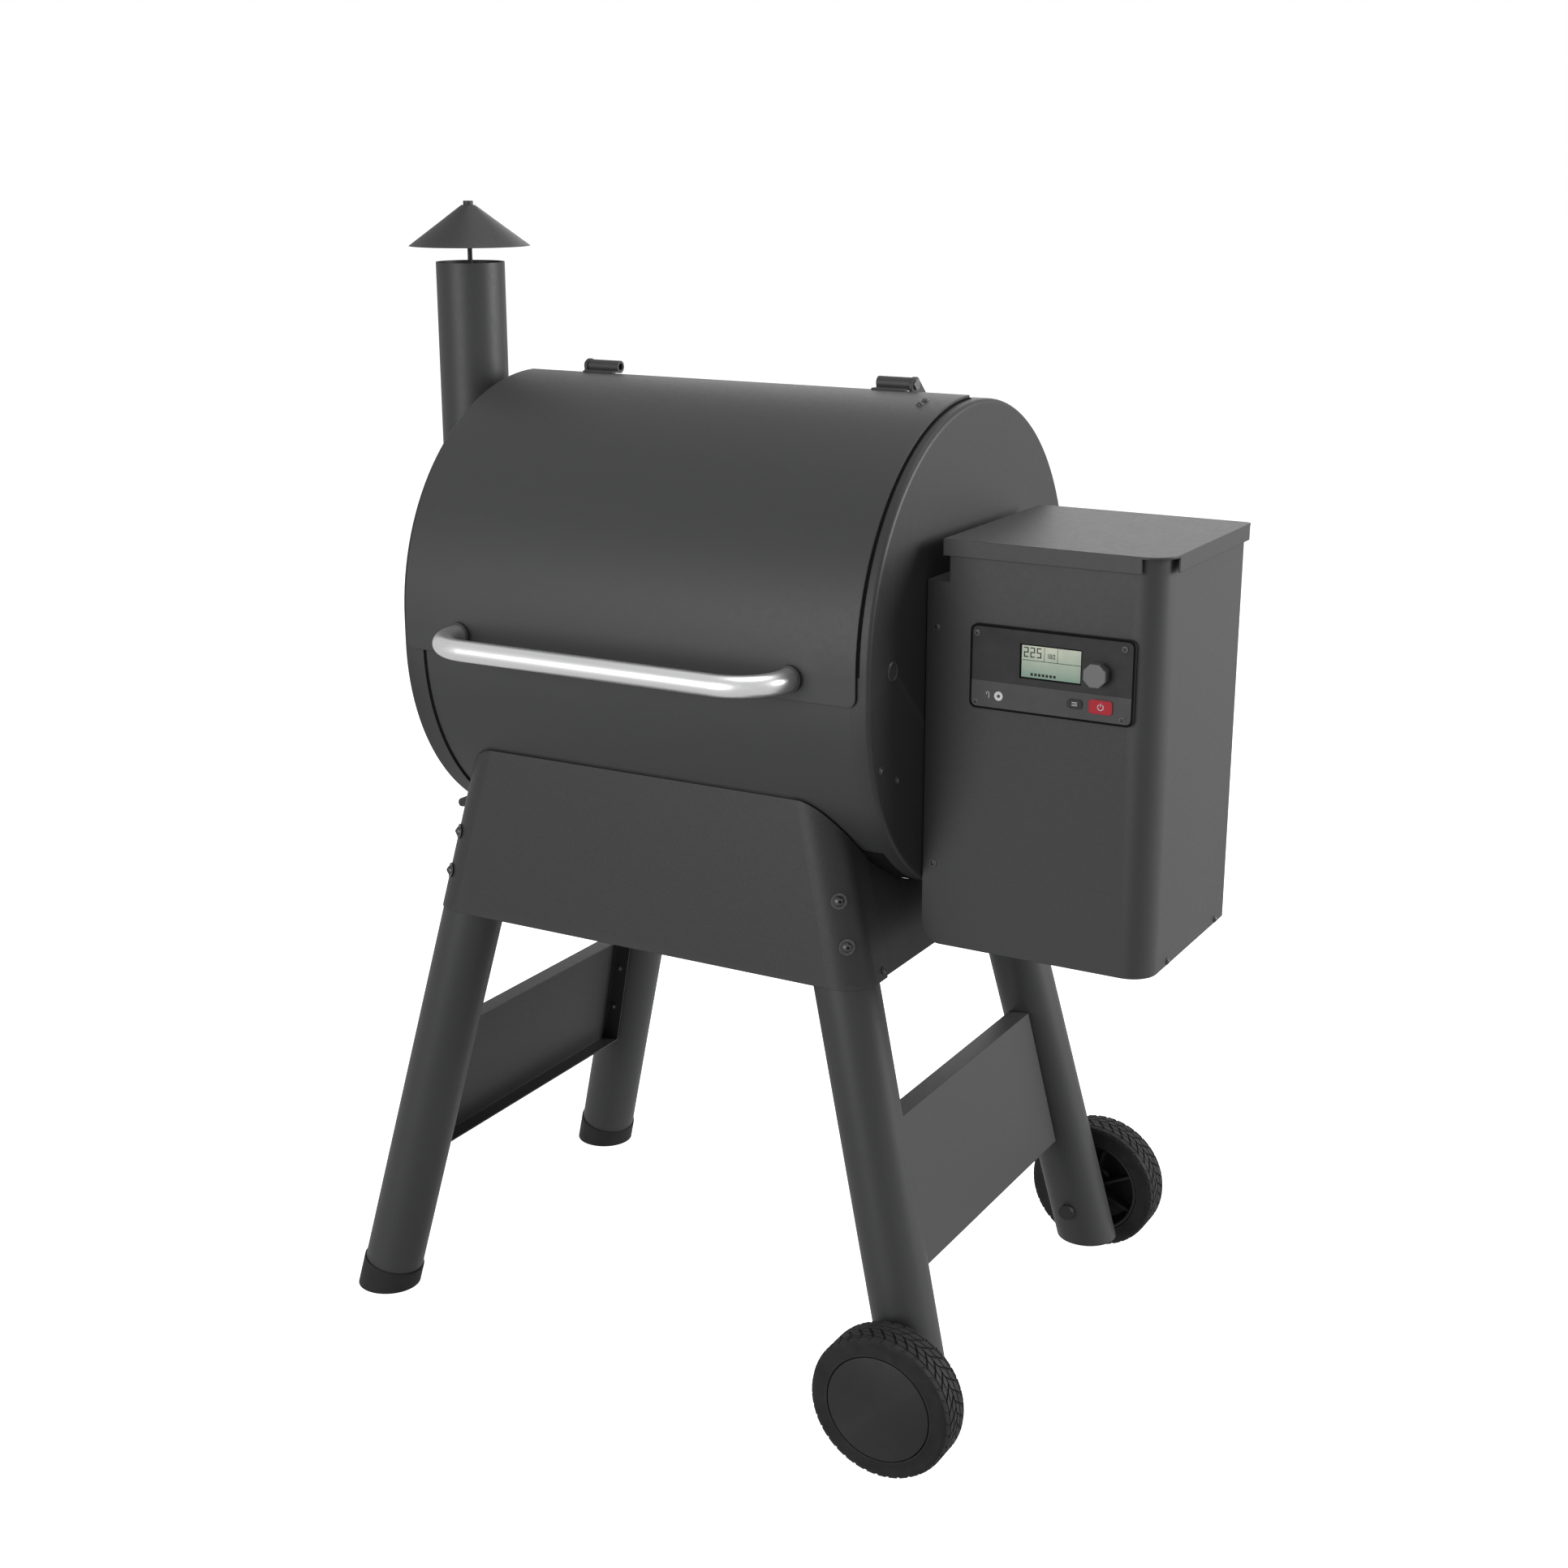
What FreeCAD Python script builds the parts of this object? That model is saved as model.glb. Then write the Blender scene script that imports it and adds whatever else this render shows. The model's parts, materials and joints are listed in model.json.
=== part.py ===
import FreeCAD, Part
import math
import os
import types

import Sketcher
from FreeCAD import Placement, Rotation, Vector

# Pellet smoker grill, in millimetres. +Z is up, -Y is the front and +X is the hopper's side.
# Every piece is modelled about the middle of the four legs, with the floor at Z = 0. Its
# Placement then shifts it, so that the whole object's box is centred on the origin.

# ---------------------------------------------------------------- driving dimensions
SIZES = {
    "shift_x": -62.15, "shift_y": 4.0, "play": 0.3, "run_fit": 0.08, "sheet_wall": 2.0,
    # barrel: a round tube with short flat sides, closed by two pressed caps
    "barrel_left": -301, "barrel_right": 307, "barrel_z": 867, "barrel_radius": 260,
    "barrel_flat": 14, "cap_depth": 20, "cap_depth_left": 28, "cap_edge": 5,
    "plug_y": -208, "plug_z": 878, "plug_ring": 11, "plug_stem": 7.4,
    "mouth_half": 262, "mouth_back": 34, "mouth_low": 24,
    # lid over the front upper quarter
    "lid_half": 293, "lid_gap": 1.5, "lid_wall": 2.5, "lid_drop": 18.5, "lid_corner": 10,
    "lid_bolt_x": 261,
    "hinge_x": 195, "hinge_y": 14, "hinge_z": 1151.4, "sleeve_radius": 7.4,
    "sleeve_half": 21, "pin_radius": 4, "pin_head": 6, "ear_wall": 4, "ear_back": 36,
    "handle_x": 216, "handle_z": 872, "handle_reach": 330, "handle_radius": 12,
    "handle_wall": 1.5, "handle_bend": 54, "bezel_radius": 14.6, "bezel_depth": 5,
    # chimney on the left end
    "flue_x": -382.3, "flue_z": 935, "flue_radius": 42, "flue_top": 1270, "flue_flange": 58,
    "rod_radius": 3, "rod_top": 1322, "bar_z": 1252, "cone_base": 1289, "cone_radius": 74,
    "cone_top": 1337, "cone_tip": 8.5, "nub_radius": 6, "nub_top": 1342, "hub_radius": 7,
    "hub_base": 1300, "flue_bar_wide": 16, "flue_bar_deep": 3, "flue_nut": 6.5,
    # legs: four sloping tubes
    "leg_x": 385.2, "leg_y": 248.1, "leg_radius": 36.6, "leg_wall": 2, "slope_x": 0.25,
    "slope_y": 0.08, "leg_tip": 740, "leg_open_z": 38, "foot_radius": 38.3, "foot_top": 34,
    "foot_sole": 4,
    # sheet panels between the legs
    "apron_low": 524.2, "apron_wall": 1.2, "apron_gap": 0.6, "apron_wrap": 25,
    "pan_low": 183.4, "pan_high": 355.7, "pan_proud": 8.3, "pan_proud_top": 13.5,
    "pan_flange": 24, "pan_wall": 2,
    # wheels at the two right legs
    "wheel_radius": 84.8, "rim_radius": 62, "wheel_inner": 284, "wheel_outer": 334,
    "tyre_shoulder": 3.5,
    "axle_radius": 6, "hub_outer": 17, "axle_end": 320,
    "rim_wall": 4, "rim_web": 22, "rim_web_wall": 4, "hub_proud": 3, "hubcap_gap": 1.4,
    "hubcap_edge": 1.6, "hubcap_boss": 26, "bolt_head": 9.5, "bolt_head_deep": 6,
    "keeper_radius": 10, "keeper_wide": 5,
    # where the screws are: down the legs, in the pans, round the caps, on the hopper
    "leg_bolt_high": 621, "leg_bolt_low": 571.5, "leg_bolt_turn": 42, "pan_screw_high": 299,
    "pan_screw_low": 237, "hem_screw_z": 534, "hem_screw_in": 18, "cap_screw_out_y": 231.5,
    "cap_screw_out_z": 775.5, "cap_screw_in_y": 191.8, "cap_screw_in_z": 755.8,
    "seam_screw_x": 321, "seam_screw_high": 913.2, "seam_screw_low": 646.4,
    "base_screw_rise": 4.5, "base_screw_front": -65, "base_screw_back": 90,
    "panel_screw_left": 370.4, "panel_screw_right": 536.1, "panel_screw_low": 837.8,
    "panel_screw_high": 913,
    # cooking chamber
    "grate_z": 787, "grate_half_y": 240, "grate_bar": 5, "grate_pitch": 22, "grate_wire": 3,
    "grate_end_gap": 22, "tray_z": 722, "tray_half_y": 205, "tray_wall": 1.5, "tray_high": 12,
    "tray_left_gap": 40, "tray_right_gap": 30, "baffle_z": 702, "baffle_half_x": 133,
    "baffle_half_y": 95, "baffle_wall": 3, "baffle_foot_in": 93, "baffle_foot_wide": 10,
    "baffle_foot_half_y": 80,
    "pot_radius": 50, "pot_low": 604, "pot_high": 694, "pot_x": 3, "pot_wall": 3,
    "pot_floor": 12, "igniter_rise": 13, "igniter_radius": 5,
    "auger_z": 656, "auger_radius": 30, "auger_end": 500, "screw_radius": 24,
    "screw_pitch": 40, "screw_core": 6, "gear_long": 40, "gear_half_y": 30, "gear_half_z": 32,
    "motor_radius": 22, "motor_long": 46, "spout_y": -20, "spout_z": 611.2, "spout_radius": 10.5,
    "spout_fall": 0.28, "probe_y": -120, "probe_z": 960, "probe_long": 44, "probe_radius": 3,
    "probe_flange": 9, "rail_out": 243, "rail_wide": 15, "rail_deep": 3,
    # hopper
    "hopper_left": 308, "hopper_neck": 334, "hopper_right": 574, "hopper_front": -128,
    "hopper_back": 118, "hopper_low": 553, "hopper_step": 963, "hopper_corner": 30,
    "hopper_foot": 22, "hood_left": 329, "hood_right": 580.6, "hood_front": -135,
    "hood_back": 124, "hood_top": 1010, "hood_plate": 2.5, "hood_rim": 18,
    "hood_axis_y": 124, "hood_axis_z": 1002, "hood_skin": 1.6, "hood_leaf": 0.9,
    "hood_hinge_left": 370, "hood_hinge_right": 530, "hood_pin": 2.5, "hood_knuckle": 5,
    "knuckle_wide": 15.5,
    # pellet bin, fan and power inlet inside the hopper
    "bin_left": 340, "bin_right": 568, "bin_front": -84, "bin_back": 112, "bin_low": 930,
    "bin_wall": 1.5, "throat_left": 402, "throat_right": 468, "throat_front": -16,
    "throat_back": 36, "funnel_half_y": 24, "fan_x": 345, "fan_y": 72, "fan_z": 604,
    "fan_radius": 40, "fan_wide": 46, "fan_mouth": 16, "fan_shaft": 3.02, "fan_hub": 22,
    "blade_long": 26, "blade_deep": 10, "inlet_x": 468, "inlet_z": 616, "inlet_wide": 31.6,
    "inlet_high": 27.6, "inlet_rim": 6.2, "inlet_rim_up": 5.2, "inlet_wall": 4.8,
    "inlet_deep": 16,
    # control panel on the hopper's front, and the box behind it
    "box_left": 373, "box_right": 537, "box_low": 842, "box_high": 911, "box_deep": 34,
    "panel_left": 362.5, "panel_right": 547.5, "panel_low": 831, "panel_high": 922.5,
    "panel_deep": 5, "screen_left": 419.7, "screen_right": 488.8, "screen_low": 869.5,
    "screen_high": 906.2, "dial_x": 508.3, "dial_z": 884, "dial_radius": 13.2,
    "dial_deep": 12.5, "menu_x": 483.2, "button_z": 849, "menu_wide": 17, "menu_high": 10,
    "ignite_x": 512.2, "ignite_wide": 26, "ignite_high": 15, "key_proud": 1.6, "key_corner": 3.5,
    "jack_x": 396.7, "jack_z": 846.8, "jack_radius": 5,
}


class Size:
    """A length together with the spreadsheet formula that gives it."""

    def __init__(self, value, formula=None):
        self.value = float(value)
        self.formula = formula or f"({self.value!r})"

    def joined(self, sign, other, value):
        return Size(value, f"({self.formula} {sign} {other.formula})")

    def __add__(self, other):
        other = as_size(other)
        return self.joined("+", other, self.value + other.value)

    def __sub__(self, other):
        other = as_size(other)
        return self.joined("-", other, self.value - other.value)

    def __mul__(self, other):
        other = as_size(other)
        return self.joined("*", other, self.value * other.value)

    def __truediv__(self, other):
        other = as_size(other)
        return self.joined("/", other, self.value / other.value)

    def __neg__(self):
        return as_size(-1) * self

    def __radd__(self, other):
        return as_size(other) + self

    def __rsub__(self, other):
        return as_size(other) - self

    def __rmul__(self, other):
        return as_size(other) * self


def as_size(number):
    return number if isinstance(number, Size) else Size(number)


doc = FreeCAD.newDocument("pellet_smoker_grill")
sheet = doc.addObject("Spreadsheet::Sheet", "Sheet")
for row, (alias, number) in enumerate(SIZES.items(), start=1):
    sheet.set(f"A{row}", alias)
    sheet.set(f"B{row}", str(number))
    sheet.setAlias(f"B{row}", alias)
doc.recompute()
s = types.SimpleNamespace(**{alias: Size(n, f"Sheet.{alias}") for alias, n in SIZES.items()})
nodes = []


# ---------------------------------------------------------------- building helpers
def bind(obj, prop, size):
    obj.setExpression(prop, as_size(size).formula)


def place(obj, x, y, z, rotation=None):
    """Put obj at a point whose coordinates follow the sheet."""
    x, y, z = as_size(x), as_size(y), as_size(z)
    obj.Placement = Placement(Vector(x.value, y.value, z.value), rotation or Rotation())
    for letter, size in zip("xyz", (x, y, z)):
        bind(obj, f"Placement.Base.{letter}", size)
    return obj


def turn_to(direction):
    return Rotation(Vector(0, 0, 1), Vector(*direction))


def node(obj, label):
    """Name a finished sub-part and shift it into the object's own frame."""
    movable = ("Part::Cut", "Part::MultiFuse", "Part::Common", "Part::Compound", "PartDesign::Body")
    if obj.TypeId not in movable:
        obj = group(obj)
    obj.Label = label
    bind(obj, "Placement.Base.x", s.shift_x)
    bind(obj, "Placement.Base.y", s.shift_y)
    nodes.append(obj)
    return obj


def box(x0, x1, y0, y1, z0, z1):
    block = doc.addObject("Part::Box", "box")
    for prop, low, high in (("Length", x0, x1), ("Width", y0, y1), ("Height", z0, z1)):
        bind(block, prop, as_size(high) - low)
    return place(block, x0, y0, z0)


def rod(x, y, z, direction, length, radius):
    """A cylinder that starts at a point and runs along direction."""
    cylinder = doc.addObject("Part::Cylinder", "rod")
    bind(cylinder, "Radius", radius)
    bind(cylinder, "Height", length)
    return place(cylinder, x, y, z, turn_to(direction))


def cone(x, y, z, direction, length, radius, end_radius):
    solid = doc.addObject("Part::Cone", "cone")
    bind(solid, "Radius1", radius)
    bind(solid, "Radius2", end_radius)
    bind(solid, "Height", length)
    return place(solid, x, y, z, turn_to(direction))


def dome(x, y, z, direction, radius, height):
    """A low round head: the cap of a sphere."""
    ball = (radius * radius + height * height) / (2 * height)
    head = doc.addObject("Part::Sphere", "dome")
    head.Radius = ball
    head.Angle1 = math.degrees(math.asin((ball - height) / ball))
    drop = Vector(*direction).normalize() * (ball - height)
    return place(head, x - drop.x, y - drop.y, z - drop.z, turn_to(direction))


def cut(base, *tools):
    result = doc.addObject("Part::Cut", "cut")
    result.Base = base
    result.Tool = tools[0] if len(tools) == 1 else fuse(*tools)
    return result


def fuse(*shapes):
    if len(shapes) == 1:
        return shapes[0]
    result = doc.addObject("Part::MultiFuse", "fuse")
    result.Shapes = list(shapes)
    return result


def group(*shapes):
    """Separate solids that share one node."""
    result = doc.addObject("Part::Compound", "group")
    result.Links = list(shapes)
    return result


def tube(x, y, z, direction, length, radius, bore):
    return cut(rod(x, y, z, direction, length, radius), rod(x, y, z, direction, length, bore))


def wedge(low, high, foot, head):
    """A block between Z = low and high. foot and head are its ends' (x0, x1, half depth)."""
    solid = doc.addObject("Part::Wedge", "wedge")
    ends = {"Ymin": as_size(0), "Ymax": as_size(high) - low, "Xmin": foot[0], "Xmax": foot[1],
            "Zmin": -as_size(foot[2]), "Zmax": foot[2], "X2min": head[0], "X2max": head[1],
            "Z2min": -as_size(head[2]), "Z2max": head[2]}
    for prop, size in ends.items():
        bind(solid, prop, size)
    return place(solid, 0, 0, low, Rotation(Vector(1, 0, 0), 90))


def new_body(name):
    return doc.addObject("PartDesign::Body", name)


def sketch_on(body, role, *outlines, across=0, up=0, out=0):
    """A sketch on one of the body's origin planes, with closed outlines or (u, v, r) circles.

    An outline is a list of corners (u, v) or (u, v, r). A third value makes the edge that
    starts there an arc of that radius, anticlockwise when positive and clockwise when negative.
    """
    plane = next(item for item in body.Origin.OriginFeatures if item.Role == role)
    sketch = body.newObject("Sketcher::SketchObject", "sketch")
    sketch.AttachmentSupport = [(plane, "")]
    sketch.MapMode = "FlatFace"
    for letter, size in zip("xyz", (across, up, out)):
        bind(sketch, f"AttachmentOffset.Base.{letter}", size)
    for outline in outlines:
        if isinstance(outline, tuple):
            draw_circle(sketch, *outline)
        else:
            draw_outline(sketch, outline)
    return sketch


def hold(sketch, kind, *terms):
    """Add a driving constraint whose last term is a Size bound to the sheet."""
    index = sketch.addConstraint(Sketcher.Constraint(kind, *terms[:-1], terms[-1].value))
    sketch.setExpression(f"Constraints[{index}]", terms[-1].formula)


def hold_point(sketch, index, end, u, v):
    for kind, size, axis in (("DistanceX", as_size(u), -2), ("DistanceY", as_size(v), -1)):
        if size.value == 0:
            sketch.addConstraint(Sketcher.Constraint("PointOnObject", index, end, axis))
        else:
            hold(sketch, kind, -1, 1, index, end, size)


def draw_circle(sketch, u, v, radius):
    centre = Vector(as_size(u).value, as_size(v).value, 0)
    circle = Part.Circle(centre, Vector(0, 0, 1), as_size(radius).value)
    index = sketch.addGeometry(circle)
    hold_point(sketch, index, 3, u, v)
    hold(sketch, "Radius", index, as_size(radius))


def arc_between(start, end, radius):
    """The short arc from start to end: anticlockwise when radius is positive."""
    chord = end - start
    reach = math.sqrt(max(radius * radius - chord.Length ** 2 / 4, 0))
    left = Vector(-chord.y, chord.x, 0).normalize()
    centre = (start + end) / 2 + left * reach * (1 if radius > 0 else -1)
    first, last = (start, end) if radius > 0 else (end, start)
    angles = [math.atan2(p.y - centre.y, p.x - centre.x) for p in (first, last)]
    return Part.ArcOfCircle(Part.Circle(centre, Vector(0, 0, 1), abs(radius)), *angles)


def draw_outline(sketch, corners):
    points = [Vector(as_size(c[0]).value, as_size(c[1]).value, 0) for c in corners]
    edges = []
    for corner, start, end in zip(corners, points, points[1:] + points[:1]):
        if len(corner) == 2:
            edges.append((sketch.addGeometry(Part.LineSegment(start, end)), 1, 2))
            continue
        radius = as_size(corner[2])
        index = sketch.addGeometry(arc_between(start, end, radius.value))
        edges.append((index, 1, 2) if radius.value > 0 else (index, 2, 1))
    for edge, following in zip(edges, edges[1:] + edges[:1]):
        sketch.addConstraint(Sketcher.Constraint("Coincident", edge[0], edge[2],
                                                 following[0], following[1]))
    for corner, edge in zip(corners, edges):
        hold_point(sketch, edge[0], edge[1], corner[0], corner[1])
        if len(corner) == 3:
            radius = as_size(corner[2])
            hold(sketch, "Radius", edge[0], radius if radius.value > 0 else -radius)


def pad(body, sketch, length, reversed_=False):
    feature = body.newObject("PartDesign::Pad", "pad")
    feature.Profile = sketch
    feature.Reversed = reversed_
    bind(feature, "Length", length)
    return feature


def pocket(body, sketch, length, reversed_=False):
    feature = body.newObject("PartDesign::Pocket", "pocket")
    feature.Profile = sketch
    feature.Reversed = reversed_
    bind(feature, "Length", length)
    return feature


def round_edges(body, radius, wanted):
    """Round the edges of a body whose bounding boxes are wanted."""
    doc.recompute()
    base = body.Tip
    names = [f"Edge{i}" for i, edge in enumerate(base.Shape.Edges, start=1)
             if wanted(edge.BoundBox)]
    feature = body.newObject("PartDesign::Fillet", "rounding")
    feature.Base = (base, names)
    bind(feature, "Radius", radius)


def near(a, b):
    return abs(a - as_size(b).value) < 0.01


def revolve(body, sketch, axis="H_Axis"):
    feature = body.newObject("PartDesign::Revolution", "revolution")
    feature.Profile = sketch
    feature.ReferenceAxis = (sketch, [axis])
    feature.Angle = 360
    return feature


# ---------------------------------------------------------------- barrel
def barrel_outline(radius):
    """The barrel's section about its own axis: two half circles joined by short flats."""
    flat = s.barrel_flat
    return [(-radius, -flat, radius), (0, -radius - flat, radius), (radius, -flat),
            (radius, flat, radius), (0, radius + flat, radius), (-radius, flat)]


def barrel_solid(name, x0, x1, radius):
    body = new_body(name)
    pad(body, sketch_on(body, "YZ_Plane", barrel_outline(radius), up=s.barrel_z, out=x0),
        as_size(x1) - x0)
    return body


def long_rod(z, radius):
    """A cylinder along the barrel, longer than the whole grill, to trim with."""
    return rod(-450, 0, z, (1, 0, 0), 900, radius)


def level_slab(low, high):
    """A block wider than the whole grill, to trim with."""
    return box(-700, 700, -500, 500, low, high)


def below_barrel(extra):
    """The lower half circle, to trim what meets it from below."""
    return long_rod(s.barrel_z - s.barrel_flat, s.barrel_radius + extra)


igniter_z = s.pot_low + s.igniter_rise
igniter_hole = s.igniter_radius + s.play
shell_radius = s.barrel_radius - s.sheet_wall - 0.1
cap_inner = s.barrel_radius - s.sheet_wall


def barrel_shell():
    x0, x1 = s.barrel_left + s.sheet_wall, s.barrel_right - s.sheet_wall
    outer = barrel_solid("shell_outer", x0, x1, shell_radius)
    inner = barrel_solid("shell_inner", x0 - 1, x1 + 1, shell_radius - s.sheet_wall)
    mouth = box(-s.mouth_half, s.mouth_half, -s.barrel_radius - 20, -s.mouth_back,
                s.barrel_z + s.mouth_low, s.barrel_z + s.barrel_radius + 40)
    node(cut(outer, inner, mouth), "barrel_shell")


def barrel_cap(label, face, depth, inward, holes):
    """A pressed end cap whose lip goes over the shell."""
    body = new_body(label)
    flip = inward < 0
    pad(body, sketch_on(body, "YZ_Plane", barrel_outline(s.barrel_radius), up=s.barrel_z,
                        out=face), depth, flip)
    round_edges(body, s.cap_edge, lambda edge: near(edge.XMin, face) and near(edge.XMax, face))
    inside = face + inward * s.sheet_wall
    pocket(body, sketch_on(body, "YZ_Plane", barrel_outline(cap_inner), up=s.barrel_z,
                           out=inside), depth, not flip)
    pocket(body, sketch_on(body, "YZ_Plane", *holes, out=face), s.sheet_wall * 3, not flip)
    node(body, label)


def end_port_plug():
    """The grommet that a meat probe's lead goes through."""
    ring = rod(s.barrel_right, s.plug_y, s.plug_z, (1, 0, 0), 3, s.plug_ring)
    stem = rod(s.barrel_right - 4, s.plug_y, s.plug_z, (1, 0, 0), 5, s.plug_stem)
    bore = rod(s.barrel_right - 5, s.plug_y, s.plug_z, (1, 0, 0), 9, s.plug_stem - 3.9)
    node(cut(fuse(ring, stem), bore), "end_port_plug")


# ---------------------------------------------------------------- legs and panels
def leg_axis(z):
    """Half spacings of the legs' axes at a height."""
    return s.leg_x - s.slope_x * z, s.leg_y - s.slope_y * z


# A level cut through a leaning leg is an ellipse: how far it reaches sideways and forwards.
leg_reach = (s.leg_radius * 1.034 + s.apron_gap, s.leg_radius * 1.004 + s.apron_gap)


def leg(label, side, end, open_foot):
    """One sloping tube. side is -1 on the left, end is -1 at the front."""
    slope = (-side * s.slope_x.value, -end * s.slope_y.value, 1)
    start = -60
    length = (s.leg_tip - start) * math.sqrt(sum(k * k for k in slope))
    x, y = leg_axis(as_size(start))
    pipe = tube(side * x, end * y, start, slope, length, s.leg_radius, s.leg_radius - s.leg_wall)
    foot_z = s.leg_open_z if open_foot else s.foot_sole
    trims = [level_slab(-200, foot_z), below_barrel(s.play), level_slab(s.leg_tip - 20, 1000)]
    if open_foot:
        axle_x, axle_y = leg_axis(s.wheel_radius)
        trims.append(rod(axle_x, -400, s.wheel_radius, (0, 1, 0), 800, s.axle_radius + 0.2))
    node(cut(pipe, *trims), label)


def rubber_feet():
    """A boot on each left leg: a sloping cup with a thick level sole."""
    feet = []
    start = as_size(-30)
    x, y = leg_axis(start)
    length = s.foot_top - start
    for end in (-1, 1):
        slope = (s.slope_x.value, -end * s.slope_y.value, 1)
        boot = rod(-x, end * y, start, slope, length, s.foot_radius)
        well = doc.addObject("Part::Common", "well")
        well.Base = rod(-x, end * y, start, slope, length + 20, s.leg_radius + 0.1)
        well.Tool = box(-700, 0, -500, 500, s.foot_sole, s.foot_top + 60)
        feet.append(cut(boot, level_slab(-200, 0), well))
    node(group(*feet), "rubber_feet")


def apron_outline(z, end):
    """A strip that runs along the front (end = -1) or the back and wraps both legs."""
    x, y = leg_axis(as_size(z))
    side, front = leg_reach
    inner_turn = end * (side + front) / 2
    outer_turn = -end * s.apron_wall - inner_turn
    out_x, out_y = x + side + s.apron_wall, end * (y + front + s.apron_wall)
    in_x, in_y = x + side, end * (y + front)
    wrap, bend = end * (y - s.apron_wrap), end * y
    return [(out_x, wrap), (out_x, bend, -outer_turn), (x, out_y), (-x, out_y, -outer_turn),
            (-out_x, bend), (-out_x, wrap), (-in_x, wrap), (-in_x, bend, -inner_turn),
            (-x, in_y), (x, in_y, -inner_turn), (in_x, bend), (in_x, wrap)]


def apron(label, end):
    body = new_body(label + "_sheet")
    low = sketch_on(body, "XY_Plane", apron_outline(s.apron_low, end), out=s.apron_low)
    high = sketch_on(body, "XY_Plane", apron_outline(s.leg_tip, end), out=s.leg_tip)
    loft = body.newObject("PartDesign::AdditiveLoft", "loft")
    loft.Profile = low
    loft.Sections = [high]
    loft.Ruled = True
    node(cut(body, below_barrel(s.play)), label)


def side_skirt(label, side):
    """The sheet that closes the side between the two aprons, under the barrel."""
    def level(z):
        x, y = leg_axis(as_size(z))
        outer = side * (x + s.leg_radius)
        inner = outer - side * s.apron_wall
        pair = (inner, outer) if side > 0 else (outer, inner)
        return (*pair, y - 14)
    sheet_ = wedge(s.apron_low, s.leg_tip, level(s.apron_low), level(s.leg_tip))
    node(cut(sheet_, below_barrel(s.play)), label)


pan_clear = s.leg_radius + s.apron_gap


def pan_proud(z):
    """How far the pan's outer face stands out from the legs' axes at a height."""
    share = (z - s.pan_low) / (s.pan_high - s.pan_low)
    return s.pan_proud + (s.pan_proud_top - s.pan_proud) * share


def side_panel(label, side):
    """A shallow pan between the front and back leg, open on its inner side."""
    def level(z, skin, mouth):
        x, y = leg_axis(z)
        outer = x + pan_proud(z) - skin
        inner = x + pan_proud(z) - s.pan_flange - mouth
        ends = (inner, outer) if side > 0 else (-outer, -inner)
        return (*ends, y - pan_clear - skin)
    outside = wedge(s.pan_low, s.pan_high, level(s.pan_low, 0, 0), level(s.pan_high, 0, 0))
    low, high = s.pan_low + s.pan_wall, s.pan_high - s.pan_wall
    inside = wedge(low, high, level(low, s.pan_wall, 5), level(high, s.pan_wall, 5))
    node(cut(outside, inside), label)


# Kinds of screw: the washer's radius, the head's radius and the head's height.
LEG_BOLT = (9, 6, 4)
PAN_SCREW = (5, 4, 2.5)
CAP_SCREW = (4.5, 3.4, 2.2)
LID_BOLT = (4.2, 3.4, 2.4)
SMALL_SCREW = (4, 3, 2)
PANEL_SCREW = (3.2, 2.4, 1.4)


def bolt(x, y, z, direction, kind):
    """A round-headed bolt: a washer disc under a domed head."""
    washer, head, height = kind
    thick = 1.2
    step = Vector(*direction).normalize() * (thick - 0.1)
    disc = rod(x, y, z, direction, thick, washer)
    return fuse(disc, dome(x + step.x, y + step.y, z + step.z, direction, head, height))


def leg_screws(side, end):
    """The bolts and screws of one leg."""
    screws = []
    leg_outer = leg_reach[0] + s.apron_wall
    turn = math.radians(s.leg_bolt_turn.value)
    for z in (s.leg_bolt_high, s.leg_bolt_low):
        x, y = leg_axis(z)
        out = (side * math.sin(turn), end * math.cos(turn), 0.2)
        screws.append(bolt(side * (x + leg_outer * math.sin(turn)),
                           end * (y + leg_outer * math.cos(turn)), z, out, LEG_BOLT))
    for z in (s.pan_screw_high, s.pan_screw_low):
        x, y = leg_axis(z)
        inner_end = y - pan_clear - s.pan_wall - 0.05
        screws.append(bolt(side * x, end * inner_end, z, (0, -end, -s.slope_y.value), PAN_SCREW))
    x, y = leg_axis(s.hem_screw_z)
    screws.append(bolt(side * (x + leg_outer + s.play), end * (y - s.hem_screw_in),
                       s.hem_screw_z, (side, 0, s.slope_x.value), SMALL_SCREW))
    return screws


def body_screws():
    """Every screw and bolt that stays with the barrel, legs and hopper."""
    screws = []
    for side in (-1, 1):
        for end in (-1, 1):
            screws += leg_screws(side, end)
            face = s.barrel_left if side < 0 else s.barrel_right
            for y, z in ((s.cap_screw_out_y, s.cap_screw_out_z),
                         (s.cap_screw_in_y, s.cap_screw_in_z)):
                screws.append(bolt(face, end * y, z, (side, 0, 0), CAP_SCREW))
    for z in (s.seam_screw_high, s.seam_screw_low):
        screws.append(bolt(s.seam_screw_x, s.hopper_front, z, (0, -1, 0), SMALL_SCREW))
    for y in (s.base_screw_front, s.base_screw_back):
        screws.append(bolt(s.hopper_right, y, s.hopper_low + s.base_screw_rise, (1, 0, 0),
                           SMALL_SCREW))
    for x in (s.panel_screw_left, s.panel_screw_right):
        for z in (s.panel_screw_low, s.panel_screw_high):
            screws.append(bolt(x, s.hopper_front - s.panel_deep, z, (0, -1, 0), PANEL_SCREW))
    node(group(*screws), "body_screws")


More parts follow.
